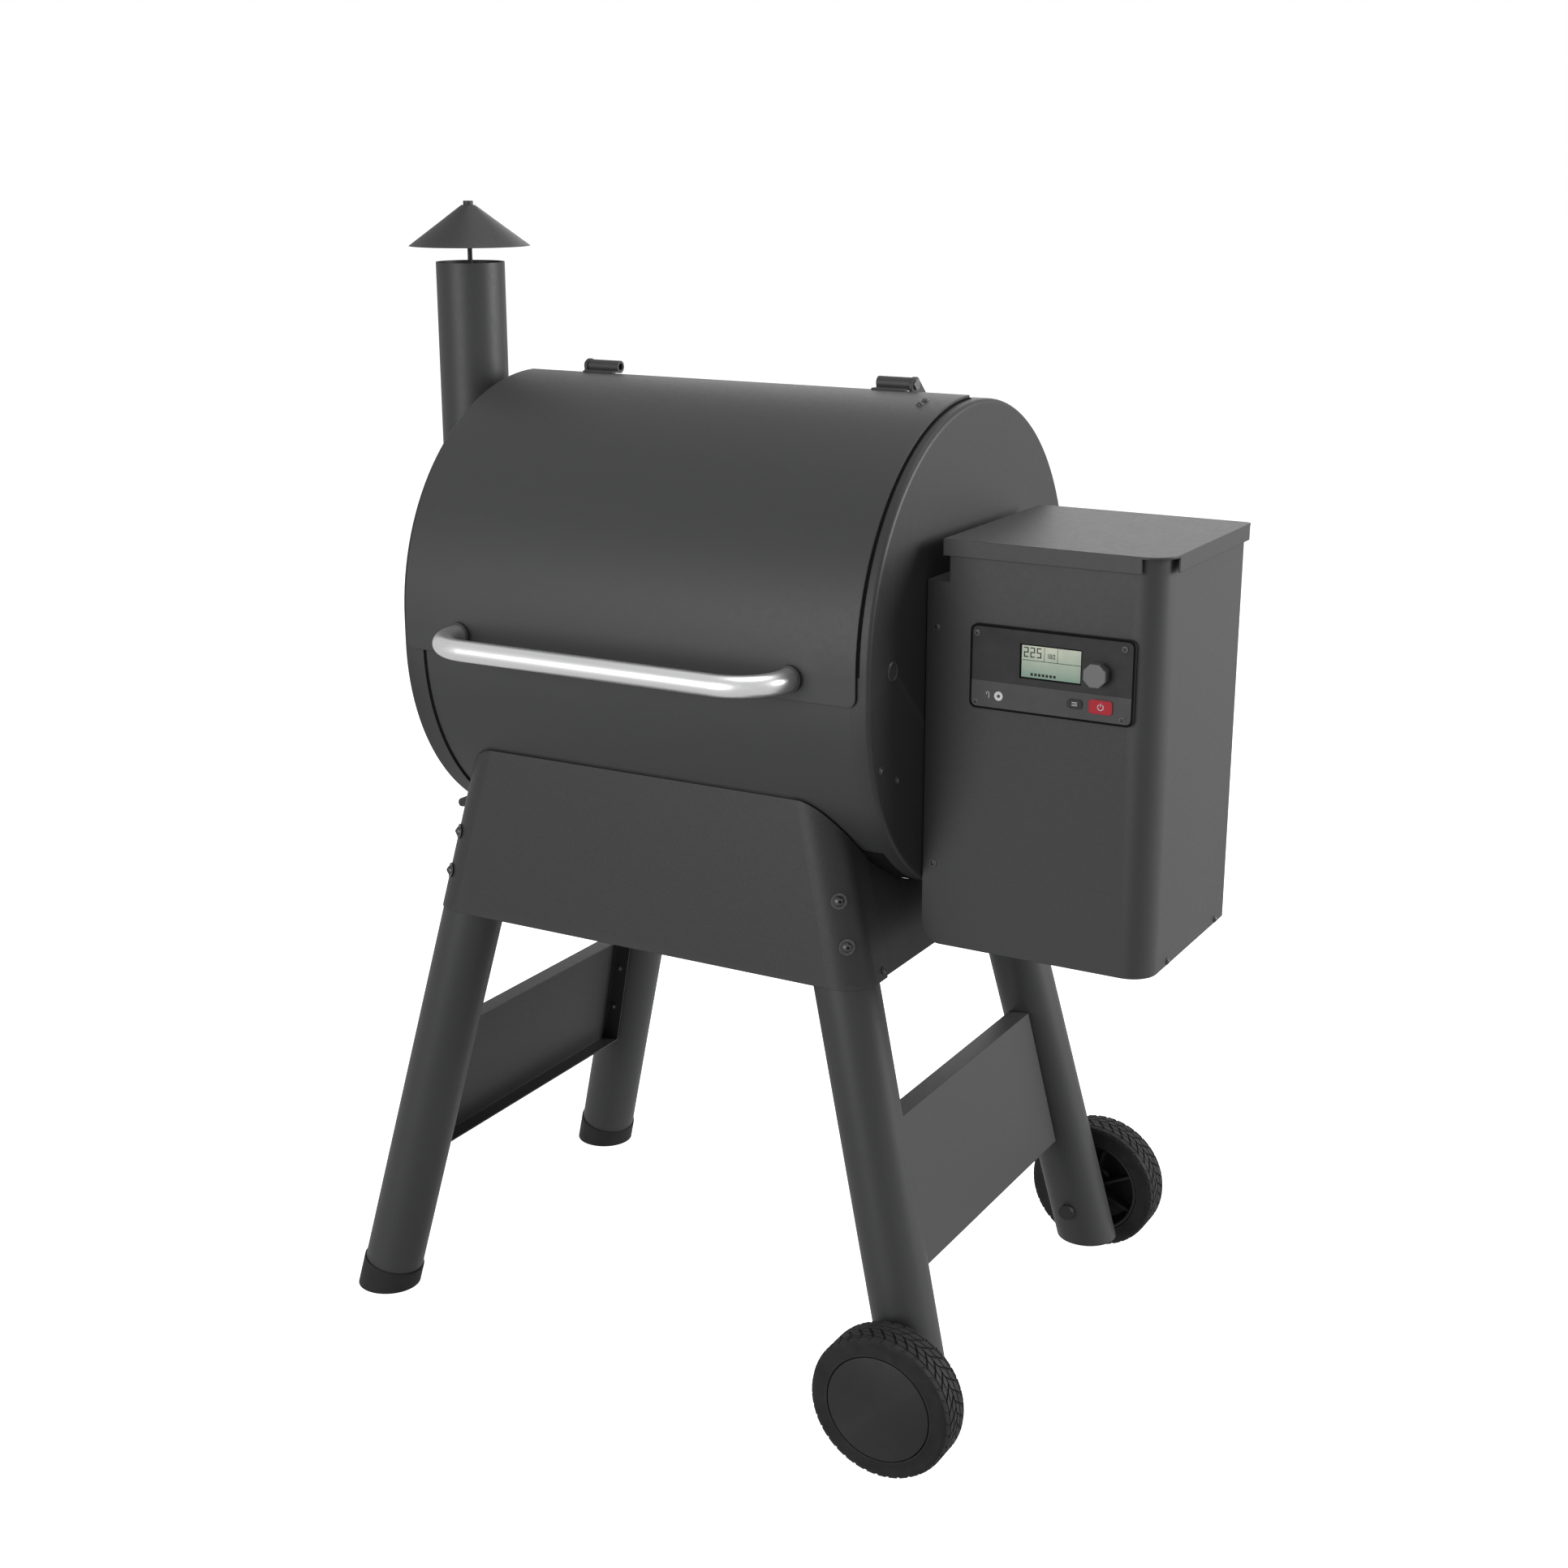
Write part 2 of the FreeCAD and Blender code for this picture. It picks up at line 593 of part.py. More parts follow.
# ---------------------------------------------------------------- wheels
def wheel_piece(label, end, outline):
    """A piece turned about an axle. outline gives (distance from the middle plane, radius)."""
    axle_x, _ = leg_axis(s.wheel_radius)
    body = new_body(label)
    corners = []
    for corner in outline:
        arc = [corner[2] * end] if len(corner) == 3 else []
        corners.append((end * corner[0], corner[1], *arc))
    revolve(body, sketch_on(body, "YZ_Plane", corners, up=s.wheel_radius, out=axle_x))
    node(body, label)


def wheel(name, end):
    near, far, rim, round_ = s.wheel_inner, s.wheel_outer - 2, s.rim_radius, s.tyre_shoulder
    tyre = [(near, rim), (far, rim), (far, s.wheel_radius - round_, round_),
            (far - round_, s.wheel_radius), (near + round_, s.wheel_radius, round_),
            (near, s.wheel_radius - round_)]
    web, inner_web = s.wheel_outer - s.rim_web, s.wheel_outer - s.rim_web - s.rim_web_wall
    bore, hub, hub_face = s.axle_radius + s.run_fit, s.hub_outer, near - s.hub_proud
    seat, lip = rim - 0.05, rim - s.rim_wall
    rim_ring = [(near, seat), (near, lip), (inner_web, lip - 1), (inner_web, hub), (hub_face, hub),
                (hub_face, bore), (web, bore), (web, lip - 1), (far - 2, lip), (far - 2, seat)]
    disc, edge, boss = rim - s.hubcap_gap, s.hubcap_edge, s.hubcap_boss
    hubcap = [(far - 2, 0), (far - 2, disc), (far + 1.2 - edge, disc, edge),
              (far + 1.2, disc - edge), (far + 1.2, boss + 4), (far + 2, boss), (far + 2, 0)]
    wheel_piece(name + "_tyre", end, tyre)
    wheel_piece(name + "_rim", end, rim_ring)
    wheel_piece(name + "_hubcap", end, hubcap)


def axle_bolts():
    bolts = []
    x, y = leg_axis(s.wheel_radius)
    for end in (-1, 1):
        inside = y - s.leg_radius - 1.2
        head = rod(x, end * (inside - s.bolt_head_deep), s.wheel_radius, (0, end, 0),
                   s.bolt_head_deep, s.bolt_head)
        shank = rod(x, end * (inside - 1), s.wheel_radius, (0, end, 0),
                    s.axle_end - inside + 1, s.axle_radius)
        keeper = rod(x, end * (s.wheel_outer - s.rim_web + 0.5), s.wheel_radius, (0, end, 0),
                     s.keeper_wide, s.keeper_radius)
        bolts.append(fuse(head, shank, keeper))
    node(group(*bolts), "axle_bolts")


# ---------------------------------------------------------------- lid
def lid_shell():
    """A curved sheet from the top of the barrel down its front, with rounded lower corners."""
    inner = s.barrel_radius + s.lid_gap
    outer = inner + s.lid_wall
    flat, foot = s.barrel_flat, -s.lid_drop
    body = new_body("lid_shell")
    section = [(-outer, foot), (-inner, foot), (-inner, flat, -inner), (0, inner + flat),
               (0, outer + flat, outer), (-outer, flat)]
    pad(body, sketch_on(body, "YZ_Plane", section, up=s.barrel_z, out=-s.lid_half),
        s.lid_half * 2)
    round_edges(body, s.lid_corner,
                lambda edge: near(edge.ZMax, s.barrel_z + foot) and edge.XLength < 0.01)
    node(body, "lid_shell")


lid_face = s.barrel_radius + s.lid_gap + s.lid_wall


def lid_handle():
    """A bent tube: two legs, two quarter bends and a straight bar."""
    def solid(radius):
        shapes = []
        for side in (-1, 1):
            shapes.append(rod(side * s.handle_x, -lid_face, s.handle_z, (0, -1, 0),
                              s.handle_reach - s.handle_bend - lid_face, radius))
            bend = doc.addObject("Part::Torus", "bend")
            bind(bend, "Radius1", s.handle_bend)
            bind(bend, "Radius2", radius)
            bend.Angle3 = 90
            turn = Rotation(Vector(0, 0, 1), -90 if side > 0 else 180)
            shapes.append(place(bend, side * (s.handle_x - s.handle_bend),
                                -s.handle_reach + s.handle_bend, s.handle_z, turn))
        shapes.append(rod(s.handle_bend - s.handle_x, -s.handle_reach, s.handle_z, (1, 0, 0),
                          (s.handle_x - s.handle_bend) * 2, radius))
        return fuse(*shapes)
    node(cut(solid(s.handle_radius), solid(s.handle_radius - s.handle_wall)), "lid_handle")


def handle_bezels():
    rings = []
    for side in (-1, 1):
        rings.append(tube(side * s.handle_x, -lid_face, s.handle_z, (0, -1, 0), s.bezel_depth,
                          s.bezel_radius, s.handle_radius + 0.05))
    node(group(*rings), "handle_bezels")


def hinge_sleeves():
    """The lid's two hinge sleeves, each on a short leaf."""
    leaf_z = s.barrel_z + s.barrel_flat + lid_face
    sleeves = []
    for side in (-1, 1):
        x0, x1 = side * s.hinge_x - s.sleeve_half, side * s.hinge_x + s.sleeve_half
        outer = rod(x0, s.hinge_y, s.hinge_z, (1, 0, 0), s.sleeve_half * 2, s.sleeve_radius)
        leaf = box(x0, x1, -5, s.hinge_y - 4, leaf_z, leaf_z + 2)
        bore = rod(x0 - 1, s.hinge_y, s.hinge_z, (1, 0, 0), s.sleeve_half * 2 + 2,
                   s.pin_radius + s.run_fit)
        sleeves.append(cut(fuse(outer, leaf), bore))
    node(group(*sleeves), "hinge_sleeves")


def hinge_brackets():
    """The barrel's two ear plates, outboard of the sleeves."""
    ears = []
    for side in (-1, 1):
        body = new_body("ear")
        face = side * (s.hinge_x + s.sleeve_half + 0.5)
        low = s.barrel_z + s.barrel_radius
        outline = [(s.hinge_y - 9, low), (s.hinge_y + s.ear_back, low - 10),
                   (s.hinge_y + s.ear_back, low + 4),
                   (s.hinge_y + 9, s.hinge_z + 4, as_size(10)), (s.hinge_y - 9, s.hinge_z)]
        pad(body, sketch_on(body, "YZ_Plane", outline, out=face), s.ear_wall, side < 0)
        hole = rod(face, s.hinge_y, s.hinge_z, (side, 0, 0), s.ear_wall, s.pin_radius + 0.02)
        crown = long_rod(s.barrel_z + s.barrel_flat, s.barrel_radius - 2)
        ears.append(cut(body, hole, crown))
    node(group(*ears), "hinge_brackets")


def hinge_pins():
    pins = []
    for side in (-1, 1):
        start = side * (s.hinge_x + s.sleeve_half + 0.5 + s.ear_wall)
        pin = rod(start, s.hinge_y, s.hinge_z, (-side, 0, 0), s.ear_wall + 32, s.pin_radius)
        pins.append(fuse(pin, rod(start, s.hinge_y, s.hinge_z, (side, 0, 0), 2.5, s.pin_head)))
    node(group(*pins), "hinge_pins")


def lid_bolts():
    bolts = []
    for degrees in (77.3, 80.1):
        lean = math.radians(degrees)
        out = (0, -math.cos(lean), math.sin(lean))
        bolts.append(bolt(s.lid_bolt_x, lid_face * out[1],
                          s.barrel_z + s.barrel_flat + lid_face * out[2], out, LID_BOLT))
    node(group(*bolts), "lid_bolts")


# ---------------------------------------------------------------- chimney
def chimney():
    bend = s.barrel_left - s.sheet_wall - s.flue_x
    start_x, pipe_z = s.barrel_left - s.sheet_wall, s.flue_z + bend

    def elbow(radius):
        torus = doc.addObject("Part::Torus", "elbow")
        bind(torus, "Radius1", bend)
        bind(torus, "Radius2", radius)
        torus.Angle3 = 90
        turn = Rotation(Vector(1, 0, 0), 90).multiply(Rotation(Vector(0, 0, 1), 180))
        return place(torus, start_x, 0, s.flue_z + bend, turn)
    wall = s.flue_radius - s.sheet_wall
    plate = rod(s.barrel_left, 0, s.flue_z, (-1, 0, 0), s.sheet_wall, s.flue_flange)
    outside = fuse(elbow(s.flue_radius), plate)
    node(cut(outside, elbow(wall), rod(s.barrel_left + 1, 0, s.flue_z, (-1, 0, 0),
                                       s.sheet_wall + 2, wall)), "chimney_elbow")
    node(tube(s.flue_x, 0, pipe_z, (0, 0, 1), s.flue_top - pipe_z, s.flue_radius, wall),
         "chimney_pipe")
    half = s.flue_bar_wide / 2
    bar = box(s.flue_x - wall + 1, s.flue_x + wall - 1, -half, half, s.bar_z,
              s.bar_z + s.flue_bar_deep)
    post = rod(s.flue_x, 0, s.bar_z - 8, (0, 0, 1), s.rod_top - s.bar_z + 8, s.rod_radius)
    nut = rod(s.flue_x, 0, s.bar_z + s.flue_bar_deep - 1, (0, 0, 1), 6, s.flue_nut)
    node(fuse(bar, post, nut), "chimney_rod")
    rise = s.cone_top - s.cone_base
    skin = cut(cone(s.flue_x, 0, s.cone_base, (0, 0, 1), rise, s.cone_radius, s.cone_tip),
               cone(s.flue_x, 0, s.cone_base - 2, (0, 0, 1), rise - 1, s.cone_radius,
                    s.cone_tip - 1.5))
    hub = rod(s.flue_x, 0, s.hub_base, (0, 0, 1), s.cone_top - s.hub_base, s.hub_radius)
    nub = rod(s.flue_x, 0, s.cone_top - 1, (0, 0, 1), s.nub_top - s.cone_top + 1, s.nub_radius)
    bore = rod(s.flue_x, 0, s.hub_base - 1, (0, 0, 1), s.nub_top - 3 - s.hub_base,
               s.rod_radius + s.run_fit)
    node(cut(fuse(skin, hub, nub), bore), "chimney_cap")


# ---------------------------------------------------------------- cooking chamber
def centred(middle, wide):
    """The two ends of a span about its middle."""
    return middle - wide / 2, middle + wide / 2


def cooking_grate(label, x0, x1):
    """A rectangular frame of bars with a pattern of thin bars across it."""
    body = new_body(label)
    half, bar = s.grate_half_y, s.grate_bar
    outside = [(x0, -half), (x1, -half), (x1, half), (x0, half)]
    inside = [(x0 + bar, bar - half), (x1 - bar, bar - half), (x1 - bar, half - bar),
              (x0 + bar, half - bar)]
    pad(body, sketch_on(body, "XY_Plane", outside, inside, out=s.grate_z), bar)
    low, high = centred(s.grate_pitch / 2, s.grate_wire)
    thin = [(x0 + bar - 1, low), (x1 - bar + 1, low), (x1 - bar + 1, high), (x0 + bar - 1, high)]
    rods = pad(body, sketch_on(body, "XY_Plane", thin, up=-half, out=s.grate_z + 1),
               s.grate_wire + 0.5)
    pattern = body.newObject("PartDesign::LinearPattern", "rods")
    pattern.Originals = [rods]
    plane = next(item for item in body.Origin.OriginFeatures if item.Role == "Y_Axis")
    pattern.Direction = (plane, [""])
    gaps = 20
    pattern.Occurrences = gaps + 1
    bind(pattern, "Length", s.grate_pitch * gaps)
    body.Tip = pattern
    node(body, label)


def chamber_pieces():
    """Rails, grates, drip tray, heat baffle, fire pot, igniter, probe and drain."""
    left, right = s.barrel_left + s.sheet_wall, s.barrel_right - s.sheet_wall
    rails = []
    for end in (-1, 1):
        outer, inner = end * s.rail_out, end * (s.rail_out - s.rail_wide)
        edges = (outer, inner) if end < 0 else (inner, outer)
        rails.append(box(left, right, *edges, s.grate_z - s.rail_deep, s.grate_z))
    node(group(*rails), "grate_rails")
    cooking_grate("grate_left", s.barrel_left + s.grate_end_gap, s.pot_x - 2)
    cooking_grate("grate_right", s.pot_x + 2, s.barrel_right - s.grate_end_gap)
    tray_left, tray_right = left + s.tray_left_gap, right - s.tray_right_gap
    tray_top = s.tray_z + s.tray_high
    tray = box(tray_left, tray_right, -s.tray_half_y, s.tray_half_y, s.tray_z, tray_top)
    hollow = box(tray_left + s.tray_wall, tray_right - s.tray_wall, s.tray_wall - s.tray_half_y,
                 s.tray_half_y - s.tray_wall, s.tray_z + s.tray_wall, tray_top + 1)
    node(cut(tray, hollow), "drip_tray")
    feet = []
    for start in (s.pot_x - s.baffle_foot_in - s.baffle_foot_wide, s.pot_x + s.baffle_foot_in):
        feet.append(box(start, start + s.baffle_foot_wide, -s.baffle_foot_half_y,
                        s.baffle_foot_half_y, s.baffle_z + 2, s.tray_z))
    node(fuse(box(s.pot_x - s.baffle_half_x, s.pot_x + s.baffle_half_x, -s.baffle_half_y,
                  s.baffle_half_y, s.baffle_z, s.baffle_z + s.baffle_wall), *feet),
         "heat_baffle")
    pot_height = s.pot_high - s.pot_low
    reach = s.pot_radius + 30
    cup = cut(rod(s.pot_x, 0, s.pot_low, (0, 0, 1), pot_height, s.pot_radius),
              rod(s.pot_x, 0, s.pot_low + s.pot_floor, (0, 0, 1), pot_height,
                  s.pot_radius - s.pot_wall),
              rod(s.pot_x, 0, s.auger_z, (1, 0, 0), reach, s.auger_radius + s.play),
              rod(s.pot_x, 0, igniter_z, (1, 0, 0), reach, igniter_hole))
    node(cup, "firepot")
    igniter_start = s.pot_x + s.pot_radius - 7
    node(rod(igniter_start, 0, igniter_z, (1, 0, 0), s.barrel_right + 6 - igniter_start,
             s.igniter_radius), "igniter_rod")
    sensor = (1, 0, 0)
    node(fuse(rod(right - s.probe_long, s.probe_y, s.probe_z, sensor, s.probe_long,
                  s.probe_radius),
              rod(right - 3, s.probe_y, s.probe_z, sensor, 3, s.probe_flange)),
         "temperature_probe")
    slope = (-1, 0, -s.spout_fall.value)

    def spout_z(x):
        """Height of the drain's axis, x to the right of the left end."""
        return s.spout_z + s.spout_fall * x
    pipe = cut(fuse(rod(s.barrel_left + 20, s.spout_y, spout_z(20), slope, 112, s.spout_radius),
                    cone(s.barrel_left - 84, s.spout_y, spout_z(-84), slope, 32, s.spout_radius,
                         s.spout_radius - 5)),
               rod(s.barrel_left + 30, s.spout_y, spout_z(30), slope, 170, s.spout_radius - 6),
               box(s.barrel_left, 0, -60, 60, 500, 700))
    node(pipe, "drain_spout")


# ---------------------------------------------------------------- hopper
def hopper_block(inset, top, base):
    """The hopper's outer form: a body, a narrower neck and rounded front right edge."""
    x0, x1 = s.hopper_left + inset, s.hopper_right - inset
    foot = s.hopper_foot - inset
    body = new_body("hopper_form")
    neck, step = s.hopper_neck + inset, s.hopper_step - inset
    outline = [(x0 + foot, base), (x1, base), (x1, top), (neck, top), (neck, step), (x0, step),
               (x0, base + foot, foot)]
    depth = s.hopper_back - s.hopper_front - 2 * inset
    pad(body, sketch_on(body, "XZ_Plane", outline, out=-s.hopper_back + inset), depth)
    round_edges(body, s.hopper_corner - inset,
                lambda edge: near(edge.XMin, x1) and edge.YLength < 0.01 and edge.ZLength > 100
                and edge.YMin < 0)
    return body


hopper_top = s.hood_top - s.hood_plate - s.play


def hopper_housing():
    wall = s.sheet_wall
    outer = hopper_block(as_size(0), hopper_top, s.hopper_low)
    inner = hopper_block(wall, hopper_top + 5, s.hopper_low + wall)
    cuts = [inner,
            box(s.box_left - 1, s.box_right + 1, s.hopper_front - 1, s.hopper_front + 5,
                s.box_low - 1, s.box_high + 1),
            rod(s.hopper_left - 1, 0, s.auger_z, (1, 0, 0), 6, s.auger_radius + s.play),
            rod(s.hopper_left - 1, 0, igniter_z, (1, 0, 0), 6, igniter_hole),
            box(*centred(s.inlet_x, s.inlet_wide + 0.4), s.hopper_back - 5, s.hopper_back + 1,
                *centred(s.inlet_z, s.inlet_high + 0.4))]
    node(cut(outer, *cuts), "hopper_housing")


def hopper_bin():
    """The pellet bin: straight walls over a funnel that feeds the auger."""
    throat_z = s.auger_z + s.auger_radius
    wall = s.bin_wall
    top = hopper_top - 5
    upper = box(s.bin_left, s.bin_right, s.bin_front, s.bin_back, s.bin_low, top)
    flange = box(s.hopper_neck + 3, s.hopper_right - 3, s.hopper_front + 33, s.hopper_back - 3,
                 top - 2, top)
    upper_hollow = box(s.bin_left + wall, s.bin_right - wall, s.bin_front + wall,
                       s.bin_back - wall, s.bin_low - 1, top + 1)
    half_depth = (s.bin_back - s.bin_front) / 2

    def funnel(skin, low, high):
        foot = (s.throat_left - 2 + skin, s.throat_right + 2 - skin, s.funnel_half_y - skin)
        head = (s.bin_left + skin, s.bin_right - skin, half_depth - skin)
        solid = wedge(low, high, foot, head)
        bind(solid, "Placement.Base.y", (s.bin_back + s.bin_front) / 2)
        return solid
    lower = funnel(0, throat_z + 24, s.bin_low)
    hollow = funnel(wall, throat_z + 23.5, s.bin_low + 0.5)
    spout = box(s.throat_left, s.throat_right, s.throat_front, s.throat_back, throat_z - 6,
                throat_z + 26)
    bore = box(s.throat_left + 2, s.throat_right - 2, s.throat_front + 2, s.throat_back - 2,
               throat_z - 8, throat_z + 28)
    node(cut(fuse(upper, flange, lower, spout), upper_hollow, hollow, bore,
             rod(380, 0, s.auger_z, (1, 0, 0), 110, s.auger_radius + s.play)), "hopper_bin")


def hopper_lid():
    """A flat plate with a turned-down rim at the front and right, and one hinge sleeve."""
    low = s.hood_top - s.hood_plate
    body = new_body("hood_plate")
    corner = s.hopper_corner
    outline = [(s.hood_left, s.hood_front), (s.hood_right - corner, s.hood_front, corner),
               (s.hood_right, s.hood_front + corner), (s.hood_right, s.hood_back - 8, as_size(8)),
               (s.hood_right - 8, s.hood_back), (s.hood_left, s.hood_back)]
    pad(body, sketch_on(body, "XY_Plane", outline, out=low), s.hood_plate)
    skin = s.hood_skin
    front = box(s.hood_left, s.hood_right - corner, s.hood_front, s.hood_front + skin,
                s.hood_top - s.hood_rim, low + 1)
    right_rim = box(s.hood_right - skin, s.hood_right, s.hood_front + corner, s.hood_back - 8,
                    s.hood_top - s.hood_rim, low + 1)
    left, right = s.hood_hinge_left + s.knuckle_wide + 0.5, s.hood_hinge_right - s.knuckle_wide - 0.5
    sleeve = rod(left, s.hood_axis_y, s.hood_axis_z, (1, 0, 0), right - left, s.hood_knuckle)
    web = box(left, right, s.hood_axis_y - 4, s.hood_axis_y, s.hood_axis_z + 2, low + 1)
    bore = rod(left - 6, s.hood_axis_y, s.hood_axis_z, (1, 0, 0), right - left + 12,
               s.hood_pin + s.run_fit)
    node(cut(fuse(body, front, right_rim, sleeve, web), bore), "hopper_lid")


def hopper_hinge():
    """The leaf on the hopper's back, its two knuckles and the pin."""
    left, right, wide = s.hood_hinge_left, s.hood_hinge_right, s.knuckle_wide
    shapes = [box(left, right, s.hopper_back, s.hopper_back + s.hood_leaf, 978, 996),
              rod(left - 4, s.hood_axis_y, s.hood_axis_z, (1, 0, 0), right - left + 8,
                  s.hood_pin)]
    for x in (left, right - wide):
        shapes.append(rod(x, s.hood_axis_y, s.hood_axis_z, (1, 0, 0), wide, s.hood_knuckle))
        shapes.append(box(x, x + wide, s.hopper_back, s.hood_axis_y, 990, s.hood_axis_z))
    node(fuse(*shapes), "hopper_hinge")


def auger_pieces():
    """The auger's tube, its screw of ten turns and the gearbox with its motor."""
    start, end = s.pot_x + s.pot_radius + 1, s.auger_end
    tube_ = cut(rod(start, 0, s.auger_z, (1, 0, 0), end - start, s.auger_radius),
                rod(start - 1, 0, s.auger_z, (1, 0, 0), end - start + 2, s.auger_radius - 3),
                box(s.throat_left, s.throat_right, s.throat_front, -s.throat_front,
                    s.auger_z + 10, s.auger_z + 60))
    node(tube_, "auger_tube")
    screw = doc.addObject("Part::Feature", "screw")
    pitch, radius, core = s.screw_pitch.value, s.screw_radius.value, s.screw_core.value
    long, root, half_blade = pitch * 10, core - 2, 1
    helix = Part.makeHelix(pitch, long, radius * 0.6)
    blade = Part.makePolygon([Vector(root, 0, -half_blade), Vector(radius, 0, -half_blade),
                              Vector(radius, 0, half_blade), Vector(root, 0, half_blade),
                              Vector(root, 0, -half_blade)])
    flight = Part.Wire(helix).makePipeShell([blade], True, True)
    shaft = Part.makeCylinder(core, long + 56, Vector(0, 0, -6))
    screw.Shape = flight.fuse(shaft).copy()
    place(screw, start + 20, 0, s.auger_z, turn_to((1, 0, 0)))
    node(screw, "auger_screw")
    gearbox = box(end, end + s.gear_long, -s.gear_half_y, s.gear_half_y,
                  s.auger_z - s.gear_half_z, s.auger_z + s.gear_half_z)
    motor = rod(end + s.gear_long / 2 + 3, s.gear_half_y - 1, s.auger_z, (0, 1, 0), s.motor_long,
                s.motor_radius)
    bore = rod(end - 1, 0, s.auger_z, (1, 0, 0), 34, s.screw_core + s.run_fit)
    node(cut(fuse(gearbox, motor), bore), "auger_motor")


def fan_pieces():
    """A round blower housing behind the auger, with its bladed wheel."""
    x, y, z, radius, along = s.fan_x, s.fan_y, s.fan_z, s.fan_radius, (1, 0, 0)
    drum = cut(rod(x, y, z, along, s.fan_wide, radius),
               rod(x + 2, y, z, along, s.fan_wide - 4, radius - 2),
               rod(x + s.fan_wide - 6, y, z, along, 10, s.fan_mouth),
               rod(x - 1, y, z, along, 5, s.fan_shaft + s.run_fit))
    node(drum, "fan_housing")
    hub = rod(x - 4, y, z, along, 24, s.fan_shaft)
    disc = rod(x + 8, y, z, along, 2, radius - 7)
    blades = []
    count = 12
    for index in range(count):
        blade = doc.addObject("Part::Box", "blade")
        bind(blade, "Length", s.blade_long)
        bind(blade, "Width", s.blade_deep)
        blade.Height = 1
        turn = Rotation(Vector(1, 0, 0), 360 / count * index)
        root = turn.multVec(Vector(0, s.fan_hub.value, 0))
        blades.append(place(blade, x + 9.5, y + root.y, z + root.z, turn))
    node(fuse(hub, disc, *blades), "fan_impeller")


def power_inlet():
    """A recessed plug socket through the hopper's back, with its flange."""
    back, wall = s.hopper_back, s.inlet_wall

    def area(grow_x, grow_z):
        return (centred(s.inlet_x, s.inlet_wide + 2 * grow_x),
                centred(s.inlet_z, s.inlet_high + 2 * grow_z))
    (x0, x1), (z0, z1) = area(0, 0)
    shell = box(x0, x1, back - s.inlet_deep, back, z0, z1)
    well = box(x0 + wall, x1 - wall, back - s.inlet_deep + 3, back + 5, z0 + wall, z1 - wall)
    (x0, x1), (z0, z1) = area(s.inlet_rim, s.inlet_rim_up)
    flange = box(x0, x1, back, back + 3, z0, z1)
    node(cut(fuse(shell, flange), well), "power_inlet")


# ---------------------------------------------------------------- control panel
def rounded_plate(x0, x1, z0, z1, corner, front, deep):
    """A plate facing the front, with rounded corners."""
    body = new_body("plate")
    outline = [(x0 + corner, z0), (x1 - corner, z0, as_size(corner)), (x1, z0 + corner),
               (x1, z1 - corner, as_size(corner)), (x1 - corner, z1),
               (x0 + corner, z1, as_size(corner)), (x0, z1 - corner),
               (x0, z0 + corner, as_size(corner))]
    pad(body, sketch_on(body, "XZ_Plane", outline, out=-front - deep), deep)
    return body


def control_panel():
    face = s.hopper_front - s.panel_deep
    slack = 0.3
    plate = rounded_plate(s.panel_left, s.panel_right, s.panel_low, s.panel_high, 7, face,
                          s.panel_deep)
    screen = (s.screen_left, s.screen_right, s.screen_low, s.screen_high)
    window = box(screen[0] - slack, screen[1] + slack, face - 1, s.hopper_front + 1,
                 screen[2] - slack, screen[3] + slack)
    menu = (*centred(s.menu_x, s.menu_wide), *centred(s.button_z, s.menu_high))
    ignite = (*centred(s.ignite_x, s.ignite_wide), *centred(s.button_z, s.ignite_high))

    def grown(area):
        return area[0] - slack, area[1] + slack, area[2] - slack, area[3] + slack
    holes = [window, rounded_plate(*grown(menu), s.key_corner + slack, face - 1, 7),
             rounded_plate(*grown(ignite), s.key_corner + slack, face - 1, 7),
             rod(s.dial_x, face - 1, s.dial_z, (0, 1, 0), 8, 3.5),
             rod(s.jack_x, face - 1, s.jack_z, (0, 1, 0), 8, s.jack_radius - 1)]
    node(cut(plate, *holes), "panel_bezel")
    node(box(screen[0], screen[1], face + 1.5, s.hopper_front, screen[2], screen[3]),
         "lcd_display")
    node(cut(box(s.box_left, s.box_right, s.hopper_front, s.hopper_front + s.box_deep, s.box_low,
                 s.box_high),
             rod(s.dial_x, s.hopper_front - 1, s.dial_z, (0, 1, 0), 16, 3 + s.run_fit)),
         "controller_box")
    knob = new_body("knob")
    sides = 8
    corners = [(s.dial_radius.value * math.cos(math.tau * (i + 0.5) / sides),
                s.dial_radius.value * math.sin(math.tau * (i + 0.5) / sides))
               for i in range(sides)]
    pad(knob, sketch_on(knob, "XZ_Plane", corners, across=s.dial_x, up=s.dial_z,
                        out=-face + 0.4), s.dial_deep)
    shaft = rod(s.dial_x, face - 2, s.dial_z, (0, 1, 0), 18, 3)
    node(fuse(knob, shaft), "dial_knob")
    front = face - s.key_proud
    node(rounded_plate(*menu, s.key_corner, front, s.panel_deep), "menu_button")
    node(rounded_plate(*ignite, s.key_corner, front, s.panel_deep), "ignite_button")
    node(cut(fuse(rod(s.jack_x, face, s.jack_z, (0, -1, 0), 1.4, s.jack_radius),
                  rod(s.jack_x, face, s.jack_z, (0, 1, 0), 5, s.jack_radius - 1.05)),
             rod(s.jack_x, face + 4, s.jack_z, (0, -1, 0), 8, 1.8)), "probe_jack")


